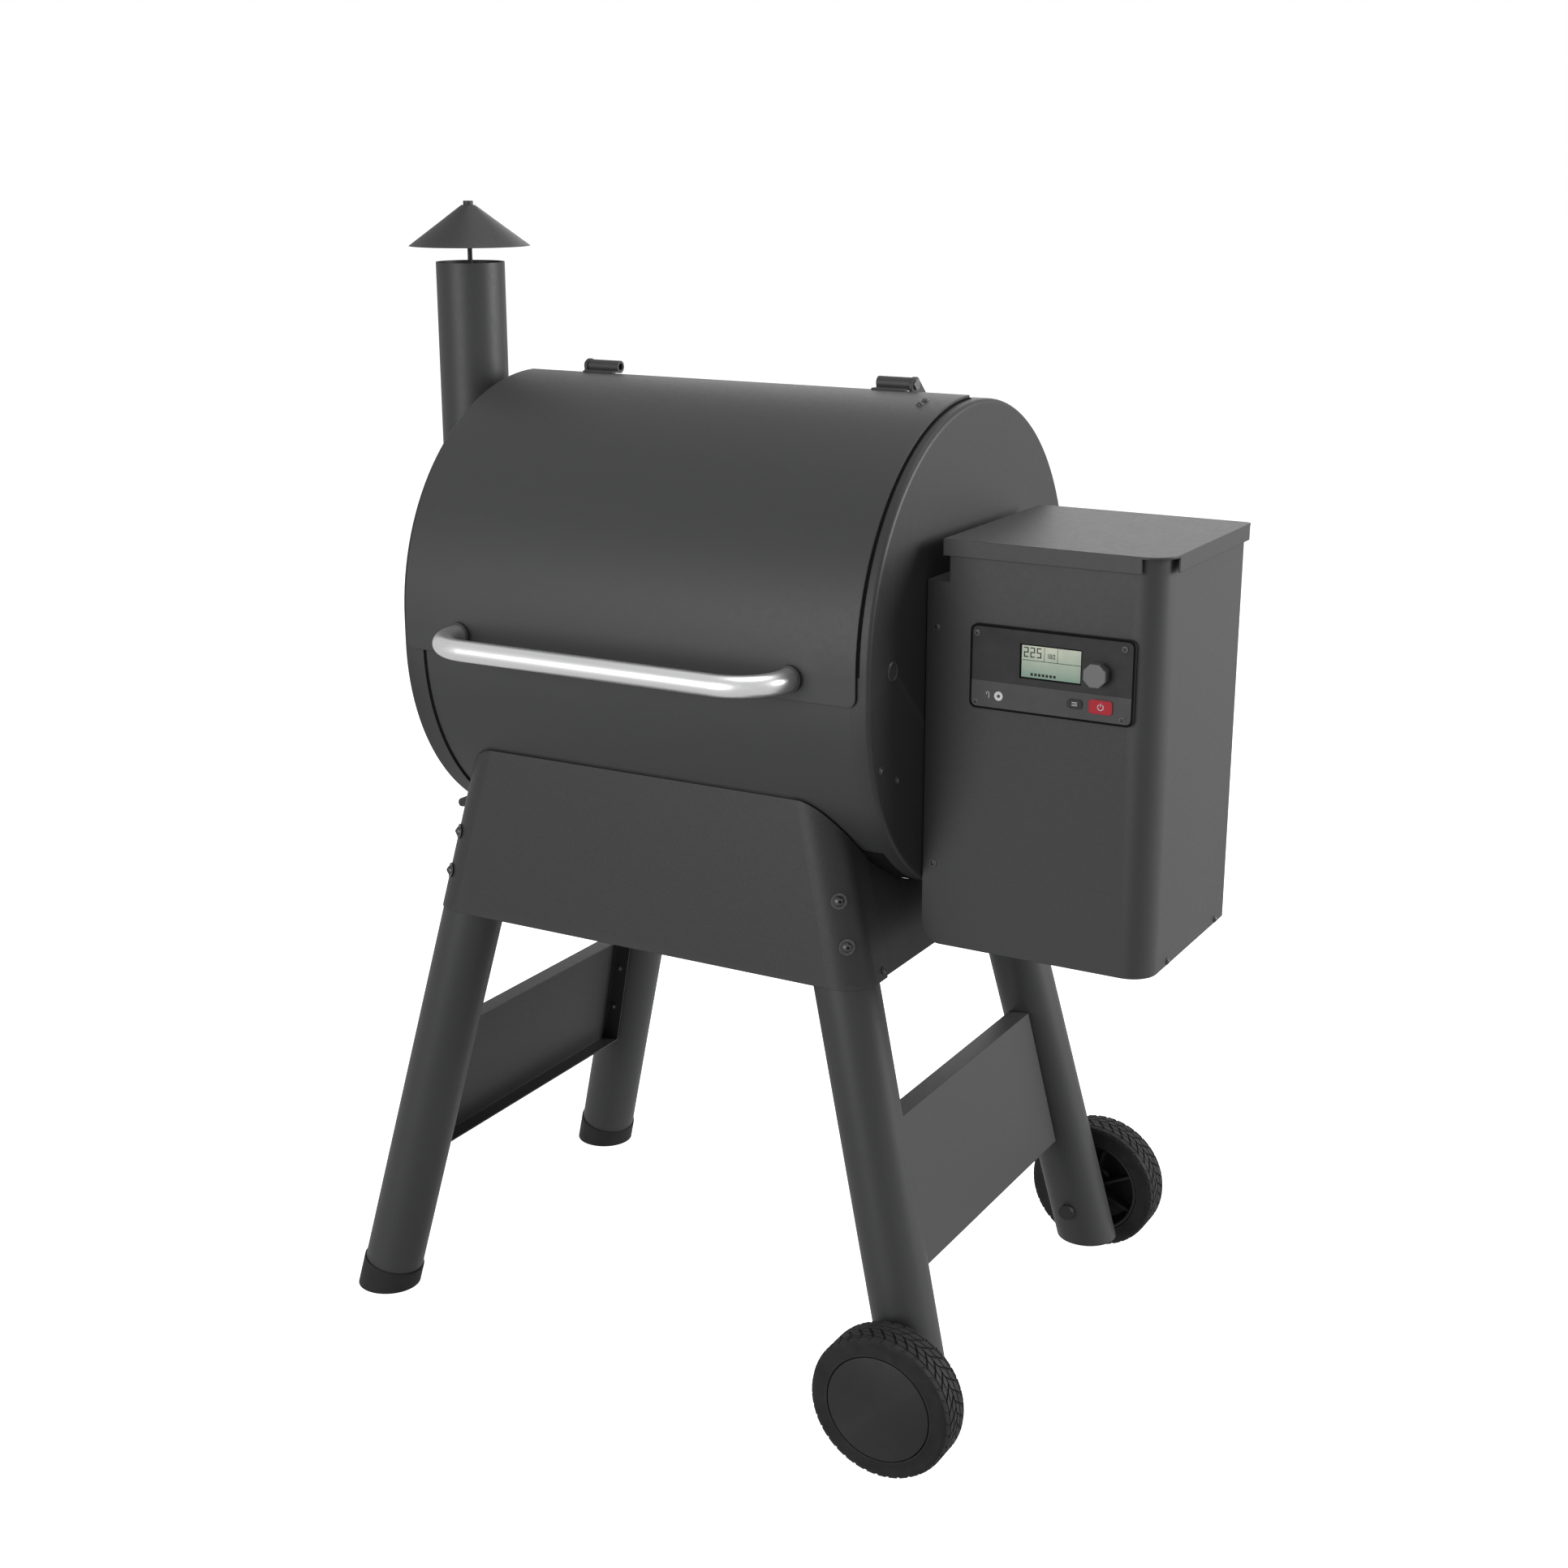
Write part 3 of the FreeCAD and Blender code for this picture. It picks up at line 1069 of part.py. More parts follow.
# ---------------------------------------------------------------- the whole grill
barrel_shell()
barrel_cap("barrel_end_left", s.barrel_left, s.cap_depth_left, 1,
           [(0, s.flue_z, s.flue_radius - s.sheet_wall),
            (s.spout_y, s.spout_z, s.spout_radius + 0.6)])
barrel_cap("barrel_end_right", s.barrel_right, s.cap_depth, -1,
           [(0, s.auger_z, s.auger_radius + s.play), (0, igniter_z, igniter_hole),
            (s.plug_y, s.plug_z, s.plug_stem + 0.1)])
end_port_plug()
for side_name, side in (("left", -1), ("right", 1)):
    for end_name, end in (("front", -1), ("back", 1)):
        leg(f"leg_{end_name}_{side_name}", side, end, side > 0)
    side_skirt(f"side_skirt_{side_name}", side)
    side_panel(f"side_panel_{side_name}", side)
rubber_feet()
apron("front_apron", -1)
apron("rear_apron", 1)
wheel("front", -1)
wheel("rear", 1)
axle_bolts()
lid_shell()
lid_handle()
handle_bezels()
hinge_sleeves()
hinge_brackets()
hinge_pins()
lid_bolts()
chimney()
chamber_pieces()
hopper_housing()
hopper_bin()
hopper_lid()
hopper_hinge()
auger_pieces()
fan_pieces()
power_inlet()
control_panel()
body_screws()
doc.recompute()

# ---------------------------------------------------------------- checks and export
for obj in doc.Objects:
    if "Invalid" in obj.State or "Error" in obj.State:
        raise RuntimeError(f"{obj.Label} ({obj.Name}) failed: {obj.State}")
for obj in nodes:
    if obj.Shape.isNull() or not obj.Shape.isValid() or not obj.Shape.Solids:
        raise RuntimeError(f"{obj.Label} has no valid shape")
os.makedirs("parts", exist_ok=True)
for obj in nodes:
    obj.Shape.exportStep(f"parts/{obj.Label}.step")
    size = obj.Shape.BoundBox
    print(f"{obj.Label:22s} {len(obj.Shape.Solids):3d} solids {obj.Shape.Volume / 1000:9.1f} cm3  "
          f"X {size.XMin:7.1f} {size.XMax:7.1f}  Y {size.YMin:7.1f} {size.YMax:7.1f}  "
          f"Z {size.ZMin:7.1f} {size.ZMax:7.1f}")
print(len(nodes), "sub-parts")
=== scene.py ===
import json
import math

import bmesh
import bpy
from mathutils import Matrix, Vector


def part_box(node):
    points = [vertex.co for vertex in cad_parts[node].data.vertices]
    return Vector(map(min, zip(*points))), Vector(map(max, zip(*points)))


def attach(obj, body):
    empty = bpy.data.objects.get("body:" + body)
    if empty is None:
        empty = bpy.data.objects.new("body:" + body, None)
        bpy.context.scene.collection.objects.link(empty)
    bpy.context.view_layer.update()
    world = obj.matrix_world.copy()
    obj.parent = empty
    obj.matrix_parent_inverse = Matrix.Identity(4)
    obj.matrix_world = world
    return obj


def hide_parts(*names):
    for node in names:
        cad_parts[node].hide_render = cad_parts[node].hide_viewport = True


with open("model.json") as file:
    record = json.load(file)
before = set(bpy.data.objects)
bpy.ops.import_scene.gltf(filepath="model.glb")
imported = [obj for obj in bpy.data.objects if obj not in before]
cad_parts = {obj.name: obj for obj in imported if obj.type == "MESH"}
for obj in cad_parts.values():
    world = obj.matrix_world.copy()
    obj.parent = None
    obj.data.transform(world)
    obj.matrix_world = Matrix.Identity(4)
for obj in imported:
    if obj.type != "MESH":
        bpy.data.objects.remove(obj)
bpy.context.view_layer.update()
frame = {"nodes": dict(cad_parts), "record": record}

# Looks of the pellet smoker grill: materials for every CAD node, and finer meshes for the
# wheels, grates, seams (black strips of painted shadow), port plug, screw sockets (dark hexagons
# of painted shade) and the marks on the control panel. Metres throughout.

nodes = frame["nodes"]
scene = bpy.context.scene
MM = 0.001


# ---------------------------------------------------------------- materials
class Surface:
    """A procedural material: a Principled shader fed by object-space textures.

    Methods that set something return the surface, and those that make a texture a socket.
    """

    def __init__(self, name, roughness, metallic=0.0, specular=0.5, coat=0.0):
        self.material = bpy.data.materials.new(name)
        self.material.use_nodes = True
        self.tree = self.material.node_tree
        self.shader = self.tree.nodes["Principled BSDF"]
        self.shader.inputs["Metallic"].default_value = metallic
        self.shader.inputs["Specular IOR Level"].default_value = specular
        self.shader.inputs["Coat Weight"].default_value = coat
        self.shader.inputs["Roughness"].default_value = roughness
        self.place = self.add("ShaderNodeTexCoord").outputs["Object"]
        self.normal = None

    def add(self, kind, **settings):
        """A new shader node with some of its settings given."""
        made = self.tree.nodes.new(kind)
        for key, value in settings.items():
            setattr(made, key, value)
        return made

    def link(self, source, target):
        self.tree.links.new(source, target)

    def noise(self, scale, detail=3.0, roughness=0.55, stretch=None):
        """A noise from 0 to 1, drawn out along the axes that stretch makes small."""
        texture = self.add("ShaderNodeTexNoise")
        texture.inputs["Scale"].default_value = scale
        texture.inputs["Detail"].default_value = detail
        texture.inputs["Roughness"].default_value = roughness
        place = self.place
        if stretch:
            mapping = self.add("ShaderNodeMapping")
            mapping.inputs["Scale"].default_value = stretch
            self.link(place, mapping.inputs["Vector"])
            place = mapping.outputs["Vector"]
        self.link(place, texture.inputs["Vector"])
        return texture.outputs["Fac"]

    def spread(self, source, low, high, start=0.3, end=0.7):
        """Map a 0-1 texture onto a range."""
        node = self.add("ShaderNodeMapRange")
        for key, value in (("From Min", start), ("From Max", end), ("To Min", low),
                           ("To Max", high)):
            node.inputs[key].default_value = value
        self.link(source, node.inputs["Value"])
        return node.outputs["Result"]

    def blend(self, factor, first, second):
        """Mix two colours, given as tuples or sockets."""
        node = self.add("ShaderNodeMix", data_type="RGBA")
        self.link(factor, node.inputs["Factor"])
        for slot, colour in ((node.inputs[6], first), (node.inputs[7], second)):
            if isinstance(colour, tuple):
                slot.default_value = (*colour, 1.0)
            else:
                self.link(colour, slot)
        return node.outputs[2]

    def colour(self, source):
        """Give the surface its colour."""
        self.link(source, self.shader.inputs["Base Color"])
        return self

    def rough(self, source):
        """Give the surface its roughness."""
        self.link(source, self.shader.inputs["Roughness"])
        return self

    def round_edges(self, radius):
        """Catch light along sharp edges, as a thick coat of paint does."""
        node = self.add("ShaderNodeBevel", samples=4)
        node.inputs["Radius"].default_value = radius
        self.normal = node.outputs["Normal"]
        self.link(self.normal, self.shader.inputs["Normal"])
        return self

    def bump(self, source, strength, depth):
        """Raise a texture on the surface, on top of what is there already."""
        node = self.add("ShaderNodeBump")
        node.inputs["Strength"].default_value = strength
        node.inputs["Distance"].default_value = depth
        self.link(source, node.inputs["Height"])
        if self.normal:
            self.link(self.normal, node.inputs["Normal"])
        self.normal = node.outputs["Normal"]
        self.link(self.normal, self.shader.inputs["Normal"])
        return self

    def painted_edge_highlight(self, base, highlight_colour, amount):
        """Paint a highlight: lighten the colour a little on convex edges."""
        pointy = self.add("ShaderNodeNewGeometry").outputs["Pointiness"]
        return self.blend(self.spread(pointy, 0.0, amount, start=0.52, end=0.6), base, highlight_colour)


def powder_coat():
    """Dark grey powder coat with a fine grain, for the sheet metal."""
    made = Surface("powder_coat", 0.5, specular=0.42)
    cloud = made.noise(2.2, detail=2)
    speck = made.noise(900, detail=1)
    tone = made.blend(made.spread(cloud, 0, 1), (0.030, 0.030, 0.030), (0.034, 0.034, 0.034))
    fleck = made.blend(made.spread(speck, 0.0, 0.35, start=0.45, end=0.75), tone,
                       (0.07, 0.07, 0.07))
    # painted highlight: the colour is lighter on convex edges
    made.colour(made.painted_edge_highlight(fleck, (0.075, 0.076, 0.078), 0.5))
    made.rough(made.spread(made.noise(160), 0.46, 0.51))
    made.round_edges(1.3 * MM)
    made.bump(made.noise(1400, detail=2), 0.35, 0.12 * MM)
    return made.bump(made.noise(420, detail=2), 0.12, 0.1 * MM).material


def satin_paint():
    """Satin charcoal paint, for the tubes."""
    made = Surface("satin_paint", 0.45, specular=0.42)
    cloud = made.noise(3.5, detail=2)
    tone = made.blend(made.spread(cloud, 0, 1), (0.029, 0.0295, 0.030), (0.035, 0.0355, 0.036))
    # painted highlight: the colour is lighter on convex edges
    made.colour(made.painted_edge_highlight(tone, (0.07, 0.071, 0.073), 0.4))
    made.rough(made.spread(made.noise(150), 0.43, 0.49))
    made.round_edges(0.9 * MM)
    made.bump(made.noise(1300, detail=2), 0.3, 0.1 * MM)
    return made.bump(made.noise(380, detail=2), 0.1, 0.1 * MM).material


def silver_tube():
    """Satin anodised tube: pale, even and only faintly drawn along its length."""
    made = Surface("silver_tube", 0.36, metallic=1.0)
    streak = made.noise(30, detail=3, stretch=(0.15, 9, 9))
    made.colour(made.blend(made.spread(streak, 0, 1), (0.84, 0.84, 0.845), (0.89, 0.89, 0.895)))
    made.rough(made.spread(streak, 0.34, 0.38))
    return made.material


def zinc():
    """Cloudy zinc plating."""
    made = Surface("zinc", 0.38, metallic=1.0)
    cloud = made.noise(90, detail=4)
    made.colour(made.blend(made.spread(cloud, 0, 1), (0.42, 0.43, 0.44), (0.6, 0.6, 0.6)))
    made.rough(made.spread(made.noise(150), 0.3, 0.5))
    return made.bump(made.noise(500), 0.2, 0.1 * MM).material


def stainless():
    """Bare steel, brushed along its length."""
    made = Surface("stainless", 0.34, metallic=1.0)
    streak = made.noise(40, detail=4, stretch=(1, 18, 18))
    made.colour(made.blend(made.spread(streak, 0, 1), (0.46, 0.45, 0.44), (0.6, 0.59, 0.58)))
    made.rough(made.spread(streak, 0.28, 0.44))
    return made.bump(made.noise(700, stretch=(0.4, 8, 8)), 0.15, 0.05 * MM).material


def black_oxide():
    """Oiled black screws, with a highlight painted on their edges."""
    made = Surface("black_oxide", 0.38, metallic=0.6)
    cloud = made.noise(220)
    # painted highlight: the colour is lighter on convex edges
    made.colour(made.painted_edge_highlight(made.blend(made.spread(cloud, 0, 1), (0.07, 0.07, 0.072),
                                     (0.10, 0.10, 0.102)), (0.22, 0.22, 0.225), 0.7))
    made.rough(made.spread(cloud, 0.3, 0.46))
    made.round_edges(0.4 * MM)
    return made.bump(made.noise(1500), 0.2, 0.05 * MM).material


def moulded(name, dark, light, rough, grain=700, depth=0.12 * MM, edge=0.6 * MM, specular=0.5):
    """Moulded plastic, rubber or ink with a fine grain; rough is a range."""
    made = Surface(name, sum(rough) / 2, specular=specular)
    cloud = made.noise(14, detail=3)
    # a lighter tint of the plastic, painted as a highlight on convex edges
    lighter = tuple(min(1.0, c * 1.8 + 0.01) for c in light)
    made.colour(made.painted_edge_highlight(made.blend(made.spread(cloud, 0, 1), dark, light), lighter, 0.35))
    made.rough(made.spread(made.noise(60), *rough))
    made.round_edges(edge)
    return made.bump(made.noise(grain, detail=2), 0.3, depth).material


def enamel():
    """Glossy black enamel with a little soot."""
    made = Surface("porcelain_enamel", 0.3)
    cloud = made.noise(30, detail=4)
    made.colour(made.blend(made.spread(cloud, 0, 1, start=0.45, end=0.75),
                           (0.012, 0.012, 0.013), (0.03, 0.026, 0.022)))
    made.rough(made.spread(cloud, 0.24, 0.5))
    return made.bump(made.noise(240, detail=3), 0.25, 0.2 * MM).material


def screen_face():
    """A backlit liquid crystal: pale green that is warmer and whiter towards the top."""
    made = Surface("screen_face", 0.16, coat=0.6)
    low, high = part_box("lcd_display")
    split = made.add("ShaderNodeSeparateXYZ")
    made.link(made.place, split.inputs["Vector"])
    rise = made.spread(split.outputs["Z"], 0, 1, start=low.z, end=high.z)
    tone = made.blend(rise, (0.24, 0.38, 0.29), (0.80, 0.82, 0.66))
    mottled = made.blend(made.spread(made.noise(26, detail=2), 0, 0.5), tone, (0.20, 0.33, 0.27))
    made.colour(mottled)
    made.link(mottled, made.shader.inputs["Emission Color"])
    made.shader.inputs["Emission Strength"].default_value = 0.12
    return made.bump(made.noise(300), 0.03, 0.02 * MM).material


MATERIALS = {
    "powder_coat": powder_coat(),
    "steel_tube": satin_paint(),
    "dark_screw": black_oxide(),
    "silver_tube": silver_tube(),
    "zinc": zinc(),
    "stainless": stainless(),
    "grate_enamel": enamel(),
    "screen": screen_face(),
    "black_plastic": moulded("black_plastic", (0.012, 0.012, 0.0125), (0.016, 0.016, 0.0165),
                             (0.42, 0.55), specular=0.35),
    "panel_plastic": moulded("panel_plastic", (0.012, 0.012, 0.012), (0.015, 0.015, 0.015),
                             (0.45, 0.55), grain=1500, depth=0.05 * MM, specular=0.32),
    "knob_plastic": moulded("knob_plastic", (0.12, 0.12, 0.122), (0.14, 0.14, 0.142),
                            (0.36, 0.46), grain=1500, depth=0.04 * MM, edge=1.2 * MM),
    "red_plastic": moulded("red_plastic", (0.40, 0.004, 0.018), (0.44, 0.006, 0.022),
                           (0.3, 0.4), grain=1600, depth=0.03 * MM, edge=0.9 * MM, specular=0.3),
    "rubber": moulded("rubber", (0.010, 0.010, 0.0105), (0.014, 0.014, 0.0145), (0.6, 0.75),
                      specular=0.3),
    "tyre": moulded("tyre", (0.015, 0.015, 0.015), (0.020, 0.020, 0.0205), (0.62, 0.8),
                    grain=420, depth=0.2 * MM, specular=0.3),
    "white_ring": moulded("white_ring", (0.72, 0.72, 0.70), (0.8, 0.8, 0.78), (0.3, 0.4),
                          grain=1200, depth=0.03 * MM),
    "ink": moulded("ink", (0.008, 0.014, 0.013), (0.012, 0.018, 0.017), (0.5, 0.6),
                   specular=0.2),
    "print": moulded("print", (0.80, 0.80, 0.80), (0.86, 0.86, 0.86), (0.5, 0.6)),
    "strip_plastic": moulded("strip_plastic", (0.030, 0.030, 0.0305), (0.034, 0.034, 0.035),
                             (0.45, 0.55), grain=1500, depth=0.05 * MM),
    "grommet": moulded("grommet", (0.05, 0.05, 0.05), (0.06, 0.06, 0.06), (0.25, 0.35),
                       edge=0.3 * MM),
    # near black: painted shadow in the seams and screw sockets, and the black frames of the panel
    # and the display
    "black_and_painted_shadow": moulded("black_and_painted_shadow", (0.003, 0.003, 0.003), (0.005, 0.005, 0.005), (0.85, 0.95),
                    grain=900, depth=0.1 * MM, edge=0.1 * MM, specular=0.1),
}
# Nodes whose look differs from the rest of their material slot.
SPECIAL_LOOKS = {"probe_jack": "white_ring", "axle_bolts": "black_plastic",
                 "chimney_rod": "black_plastic", "handle_bezels": "steel_tube"}
for entry in frame["record"]["subparts"]:
    node = nodes[entry["node"]]
    look = SPECIAL_LOOKS.get(entry["node"], entry["material_slot"])
    node.data.materials.clear()
    node.data.materials.append(MATERIALS[look])


# ---------------------------------------------------------------- mesh helpers
def piece(name, bm, material, body, slot, *replaced):
    """Finish a mesh: outward faces, a material, the body it moves with and what it stands for."""
    bmesh.ops.recalc_face_normals(bm, faces=bm.faces)
    mesh = bpy.data.meshes.new(name)
    bm.to_mesh(mesh)
    bm.free()
    mesh.materials.append(MATERIALS[material])
    made = bpy.data.objects.new(name, mesh)
    scene.collection.objects.link(made)
    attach(made, body)
    if replaced:
        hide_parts(*replaced)
    return made


def smooth(made, degrees=35):
    """Shade round surfaces smoothly and keep the creases sharp."""
    made.data.shade_smooth()
    made.data.set_sharp_from_angle(angle=math.radians(degrees))


def band(bm, ring, following):
    """Join two closed rings of equally many points with faces."""
    for here in range(len(ring)):
        there = (here + 1) % len(ring)
        bm.faces.new((ring[here], ring[there], following[there], following[here]))


def lathe(bm, outline, centre, steps, along_x=False):
    """Turn a closed outline of (place along the axis, radius) about a line through a centre."""
    rings = []
    for step in range(steps):
        turn = math.tau * step / steps
        sweep, rise = math.sin(turn), math.cos(turn)
        ring = []
        for along, radius in outline:
            spot = ((along, centre.y + radius * sweep, centre.z + radius * rise) if along_x else
                    (centre.x + radius * sweep, along, centre.z + radius * rise))
            ring.append(bm.verts.new(spot))
        rings.append(ring)
    for ring, following in zip(rings, rings[1:] + rings[:1]):
        band(bm, ring, following)


def loft(bm, first, last):
    """Close the space between two outlines of equal length."""
    low = [bm.verts.new(point) for point in first]
    high = [bm.verts.new(point) for point in last]
    bm.faces.new(low)
    bm.faces.new(high)
    band(bm, low, high)


def rod(bm, start, end, radius, sides=12):
    """A round bar between two points."""
    start, end = Vector(start), Vector(end)
    turn = (end - start).to_track_quat("Z", "Y")
    ring = [turn @ Vector((radius * math.cos(math.tau * i / sides),
                           radius * math.sin(math.tau * i / sides), 0)) for i in range(sides)]
    loft(bm, [start + point for point in ring], [end + point for point in ring])


def plate(bm, outline, front, thick):
    """A flat plate facing the front, from an outline of (x, z), its front face at y = front."""
    loft(bm, [(x, front, z) for x, z in outline], [(x, front + thick, z) for x, z in outline])


def rounded(x0, x1, z0, z1, low_corner, high_corner, steps=6):
    """The outline of a rectangle with rounded lower and upper corners."""
    points = []
    for x, z, corner, start in ((x1, z1, high_corner, 0), (x0, z1, high_corner, 90),
                                (x0, z0, low_corner, 180), (x1, z0, low_corner, 270)):
        centre_x = x - math.copysign(corner, x - (x0 + x1) / 2)
        centre_z = z - math.copysign(corner, z - (z0 + z1) / 2)
        for step in range(steps + 1 if corner else 1):
            turn = math.radians(start + 90 * step / steps)
            points.append((centre_x + corner * math.cos(turn), centre_z + corner * math.sin(turn)))
    return points


# ---------------------------------------------------------------- wheels
PIN = 0.05 * MM                 # the radius that stands for a turned outline's centre
TYRE_WALL = 22 * MM             # from the tread down to the rim
TREAD_DEEP = 1.8 * MM
BLOCKS_ROUND = 38
BLOCK_SHARE = 0.8               # of a block's pitch; the rest is groove
WHEEL_STEPS = 128               # flats round a tyre or a hubcap
RIM_STEPS = 96
RIM_RIBS = 7
# Rows of blocks from the middle outwards: near and far edge, shift and slant in pitches, and
# how far the far edge folds down over the shoulder.
BLOCK_ROWS = ((0.5 * MM, 7.4 * MM, 0.0, 0.45, 0.05 * MM),
              (8.2 * MM, 15.6 * MM, 0.45, 0.45, 0.05 * MM),
              (16.4 * MM, 21.8 * MM, 0.9, -0.2, 1.9 * MM))


def wheel_frame(name):
    """The tyre's centre, radius and width, and a function from depth to y."""
    low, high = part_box(name + "_tyre")
    centre = (low + high) / 2
    side = math.copysign(1, centre.y)
    inner = low.y if side > 0 else high.y
    return centre, (high.z - low.z) / 2, high.y - low.y, lambda deep: inner + side * deep


def tread(bm, centre, radius, place, middle):
    """Rows of slanting blocks that meet in chevrons, the outer ones folded over the shoulder."""
    pitch = math.tau / BLOCKS_ROUND
    root = 2.6 * MM
    inset_turn, inset_across = pitch * 0.03, 0.35 * MM

    def point(turn, across, reach):
        """The place at an angle, a distance from the tyre's middle plane and a radius."""
        return (centre.x + reach * math.sin(turn), place(middle + across),
                centre.z + reach * math.cos(turn))
    for step in range(BLOCKS_ROUND):
        for near, far, shift, slant, fold in BLOCK_ROWS:
            for side in (-1, 1):
                start = pitch * (step + shift + (0.5 if side > 0 else 0))
                lean, long = pitch * slant, pitch * BLOCK_SHARE
                corners = ((start, near, 0, 1, 1), (start + lean, far, fold, 1, -1),
                           (start + lean + long, far, fold, -1, -1),
                           (start + long, near, 0, -1, 1))
                foot = [point(turn, side * across, radius - root - drop)
                        for turn, across, drop, _, _ in corners]
                face = [point(turn + turn_in * inset_turn,
                              side * (across + back_in * inset_across), radius - max(drop, PIN))
                        for turn, across, drop, turn_in, back_in in corners]
                loft(bm, foot, face)


def tyre(name, body):
    """A tyre with flat sidewalls, a raised ring round the rim and low tread blocks."""
    centre, radius, wide, place = wheel_frame(name)
    base, hole, dip = radius - TREAD_DEEP, radius - TYRE_WALL, 0.5 * MM
    shoulder = ((0.8 * MM, 4.4 * MM), (1.6 * MM, 2.4 * MM), (2.8 * MM, 1.1 * MM),
                (4.6 * MM, 0.3 * MM), (7 * MM, 0))
    outline = [(0, hole), (0, hole + 2.4 * MM), (dip, hole + 3.2 * MM), (dip, base - 7 * MM)]
    outline += [(deep, base - drop) for deep, drop in shoulder]
    mirrored = [(wide - deep, reach) for deep, reach in reversed(outline)]
    bm = bmesh.new()
    lathe(bm, [(place(deep), reach) for deep, reach in outline + mirrored], centre, WHEEL_STEPS)
    tread(bm, centre, radius, place, wide / 2)
    smooth(piece(name + "_treaded_tyre", bm, "tyre", body, "tyre", name + "_tyre"))


def hubcap(name, body):
    """A plain flat disc whose edge is turned in, which leaves a groove round it."""
    centre, radius, wide, place = wheel_frame(name)
    edge = radius - TYRE_WALL - 1 * MM
    face, back = wide + 0.6 * MM, wide - 3 * MM
    outline = [(face, PIN), (face, edge - 1.4 * MM), (face - 0.4 * MM, edge - 0.5 * MM),
               (face - 1.3 * MM, edge), (back, edge), (back, PIN)]
    bm = bmesh.new()
    lathe(bm, [(place(deep), reach) for deep, reach in outline], centre, WHEEL_STEPS)
    smooth(piece(name + "_plain_hubcap", bm, "black_plastic", body, "black_plastic",
                 name + "_hubcap"))


def rim(name, body):
    """A dished plastic rim with a hub, an axle hole and ribs inside its dish."""
    centre, radius, wide, place = wheel_frame(name)
    outer = radius - TYRE_WALL - 0.9 * MM
    bore, hub, web, skin, hub_face = 6.1 * MM, 16 * MM, 24 * MM, 4 * MM, -3 * MM
    lip = [(0.6 * MM, outer), (0, outer - 1 * MM), (0, outer - 3 * MM), (1 * MM, outer - 4 * MM)]
    dish = [(web - 3 * MM, outer - 5.5 * MM), (web, outer - 9 * MM), (web, hub + 3 * MM)]
    boss = [(web - 3 * MM, hub), (hub_face + 1 * MM, hub - 1 * MM), (hub_face, hub - 2 * MM),
            (hub_face, bore), (web + skin, bore)]
    back = [(web + skin, outer - 5 * MM), (wide - 2 * MM, outer - 4 * MM), (wide - 2 * MM, outer)]
    bm = bmesh.new()
    outline = lip + dish + boss + back
    lathe(bm, [(place(deep), reach) for deep, reach in outline], centre, RIM_STEPS)
    half_rib, first_rib = 1.6 * MM, 0.3
    inside, outside, foot = hub - 2 * MM, outer - 4.4 * MM, web + 1 * MM
    side_view = ((inside, 1 * MM), (outside, 9 * MM), (outside, foot), (inside, foot))
    for index in range(RIM_RIBS):
        turn = math.tau * (index + first_rib) / RIM_RIBS
        along = Vector((math.sin(turn), 0, math.cos(turn)))
        across = Vector((along.z, 0, -along.x)) * half_rib
        flank = [Vector((centre.x, place(deep), centre.z)) + along * reach
                 for reach, deep in side_view]
        loft(bm, [point - across for point in flank], [point + across for point in flank])
    smooth(piece(name + "_ribbed_rim", bm, "black_plastic", body, "black_plastic",
                 name + "_rim"))


# ---------------------------------------------------------------- cooking grates
def grate(name):
    """Round rods welded to a round frame, with two cross rods below."""
    low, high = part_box(name)
    frame_rod, food_rod, cross_rod, cross_rise = 2.5 * MM, 1.7 * MM, 1.5 * MM, 1.6 * MM
    gaps = 30
    z = high.z - frame_rod
    x0, x1 = low.x + frame_rod, high.x - frame_rod
    y0, y1 = low.y + frame_rod, high.y - frame_rod
    bm = bmesh.new()
    for y in (y0, y1):
        rod(bm, (low.x, y, z), (high.x, y, z), frame_rod)
    for x in (x0, x1):
        rod(bm, (x, low.y, z), (x, high.y, z), frame_rod)
    for x in (x0 + (x1 - x0) / 3, x1 - (x1 - x0) / 3):
        rod(bm, (x, y0, low.z + cross_rise), (x, y1, low.z + cross_rise), cross_rod)
    for index in range(1, gaps):
        y = y0 + (y1 - y0) * index / gaps
        rod(bm, (x0, y, high.z - food_rod), (x1, y, high.z - food_rod), food_rod)
    smooth(piece(name + "_rods", bm, "grate_enamel", "grill", "grate_enamel", name))


# ---------------------------------------------------------------- barrel and lid edges
HALF_FLAT = 14 * MM             # half the height of the barrel's straight front and back
FRONT_ANGLE = 75                # where the cap's and the lid's strips of painted shadow stop, in degrees below level
SKIRT_ANGLE = 150               # the skirts' strips of painted shadow run on under the barrel to its back


def barrel_line(radius, low_angle, steps=48):
    """Points (y, z) from the crown of the barrel down its front, given the angle to stop at."""
    low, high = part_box("barrel_end_right")
    arc_z = (low.z + high.z) / 2 + HALF_FLAT
    middle_y = (low.y + high.y) / 2
    points = []
    for step in range(steps + 1):
        turn = math.radians(90 - 90 * step / steps)
        points.append((middle_y - radius * math.cos(turn), arc_z + radius * math.sin(turn)))
    for step in range(1, steps + 1):
        turn = math.radians(low_angle * step / steps)
        points.append((middle_y - radius * math.cos(turn),
                       arc_z - 2 * HALF_FLAT - radius * math.sin(turn)))
    return points


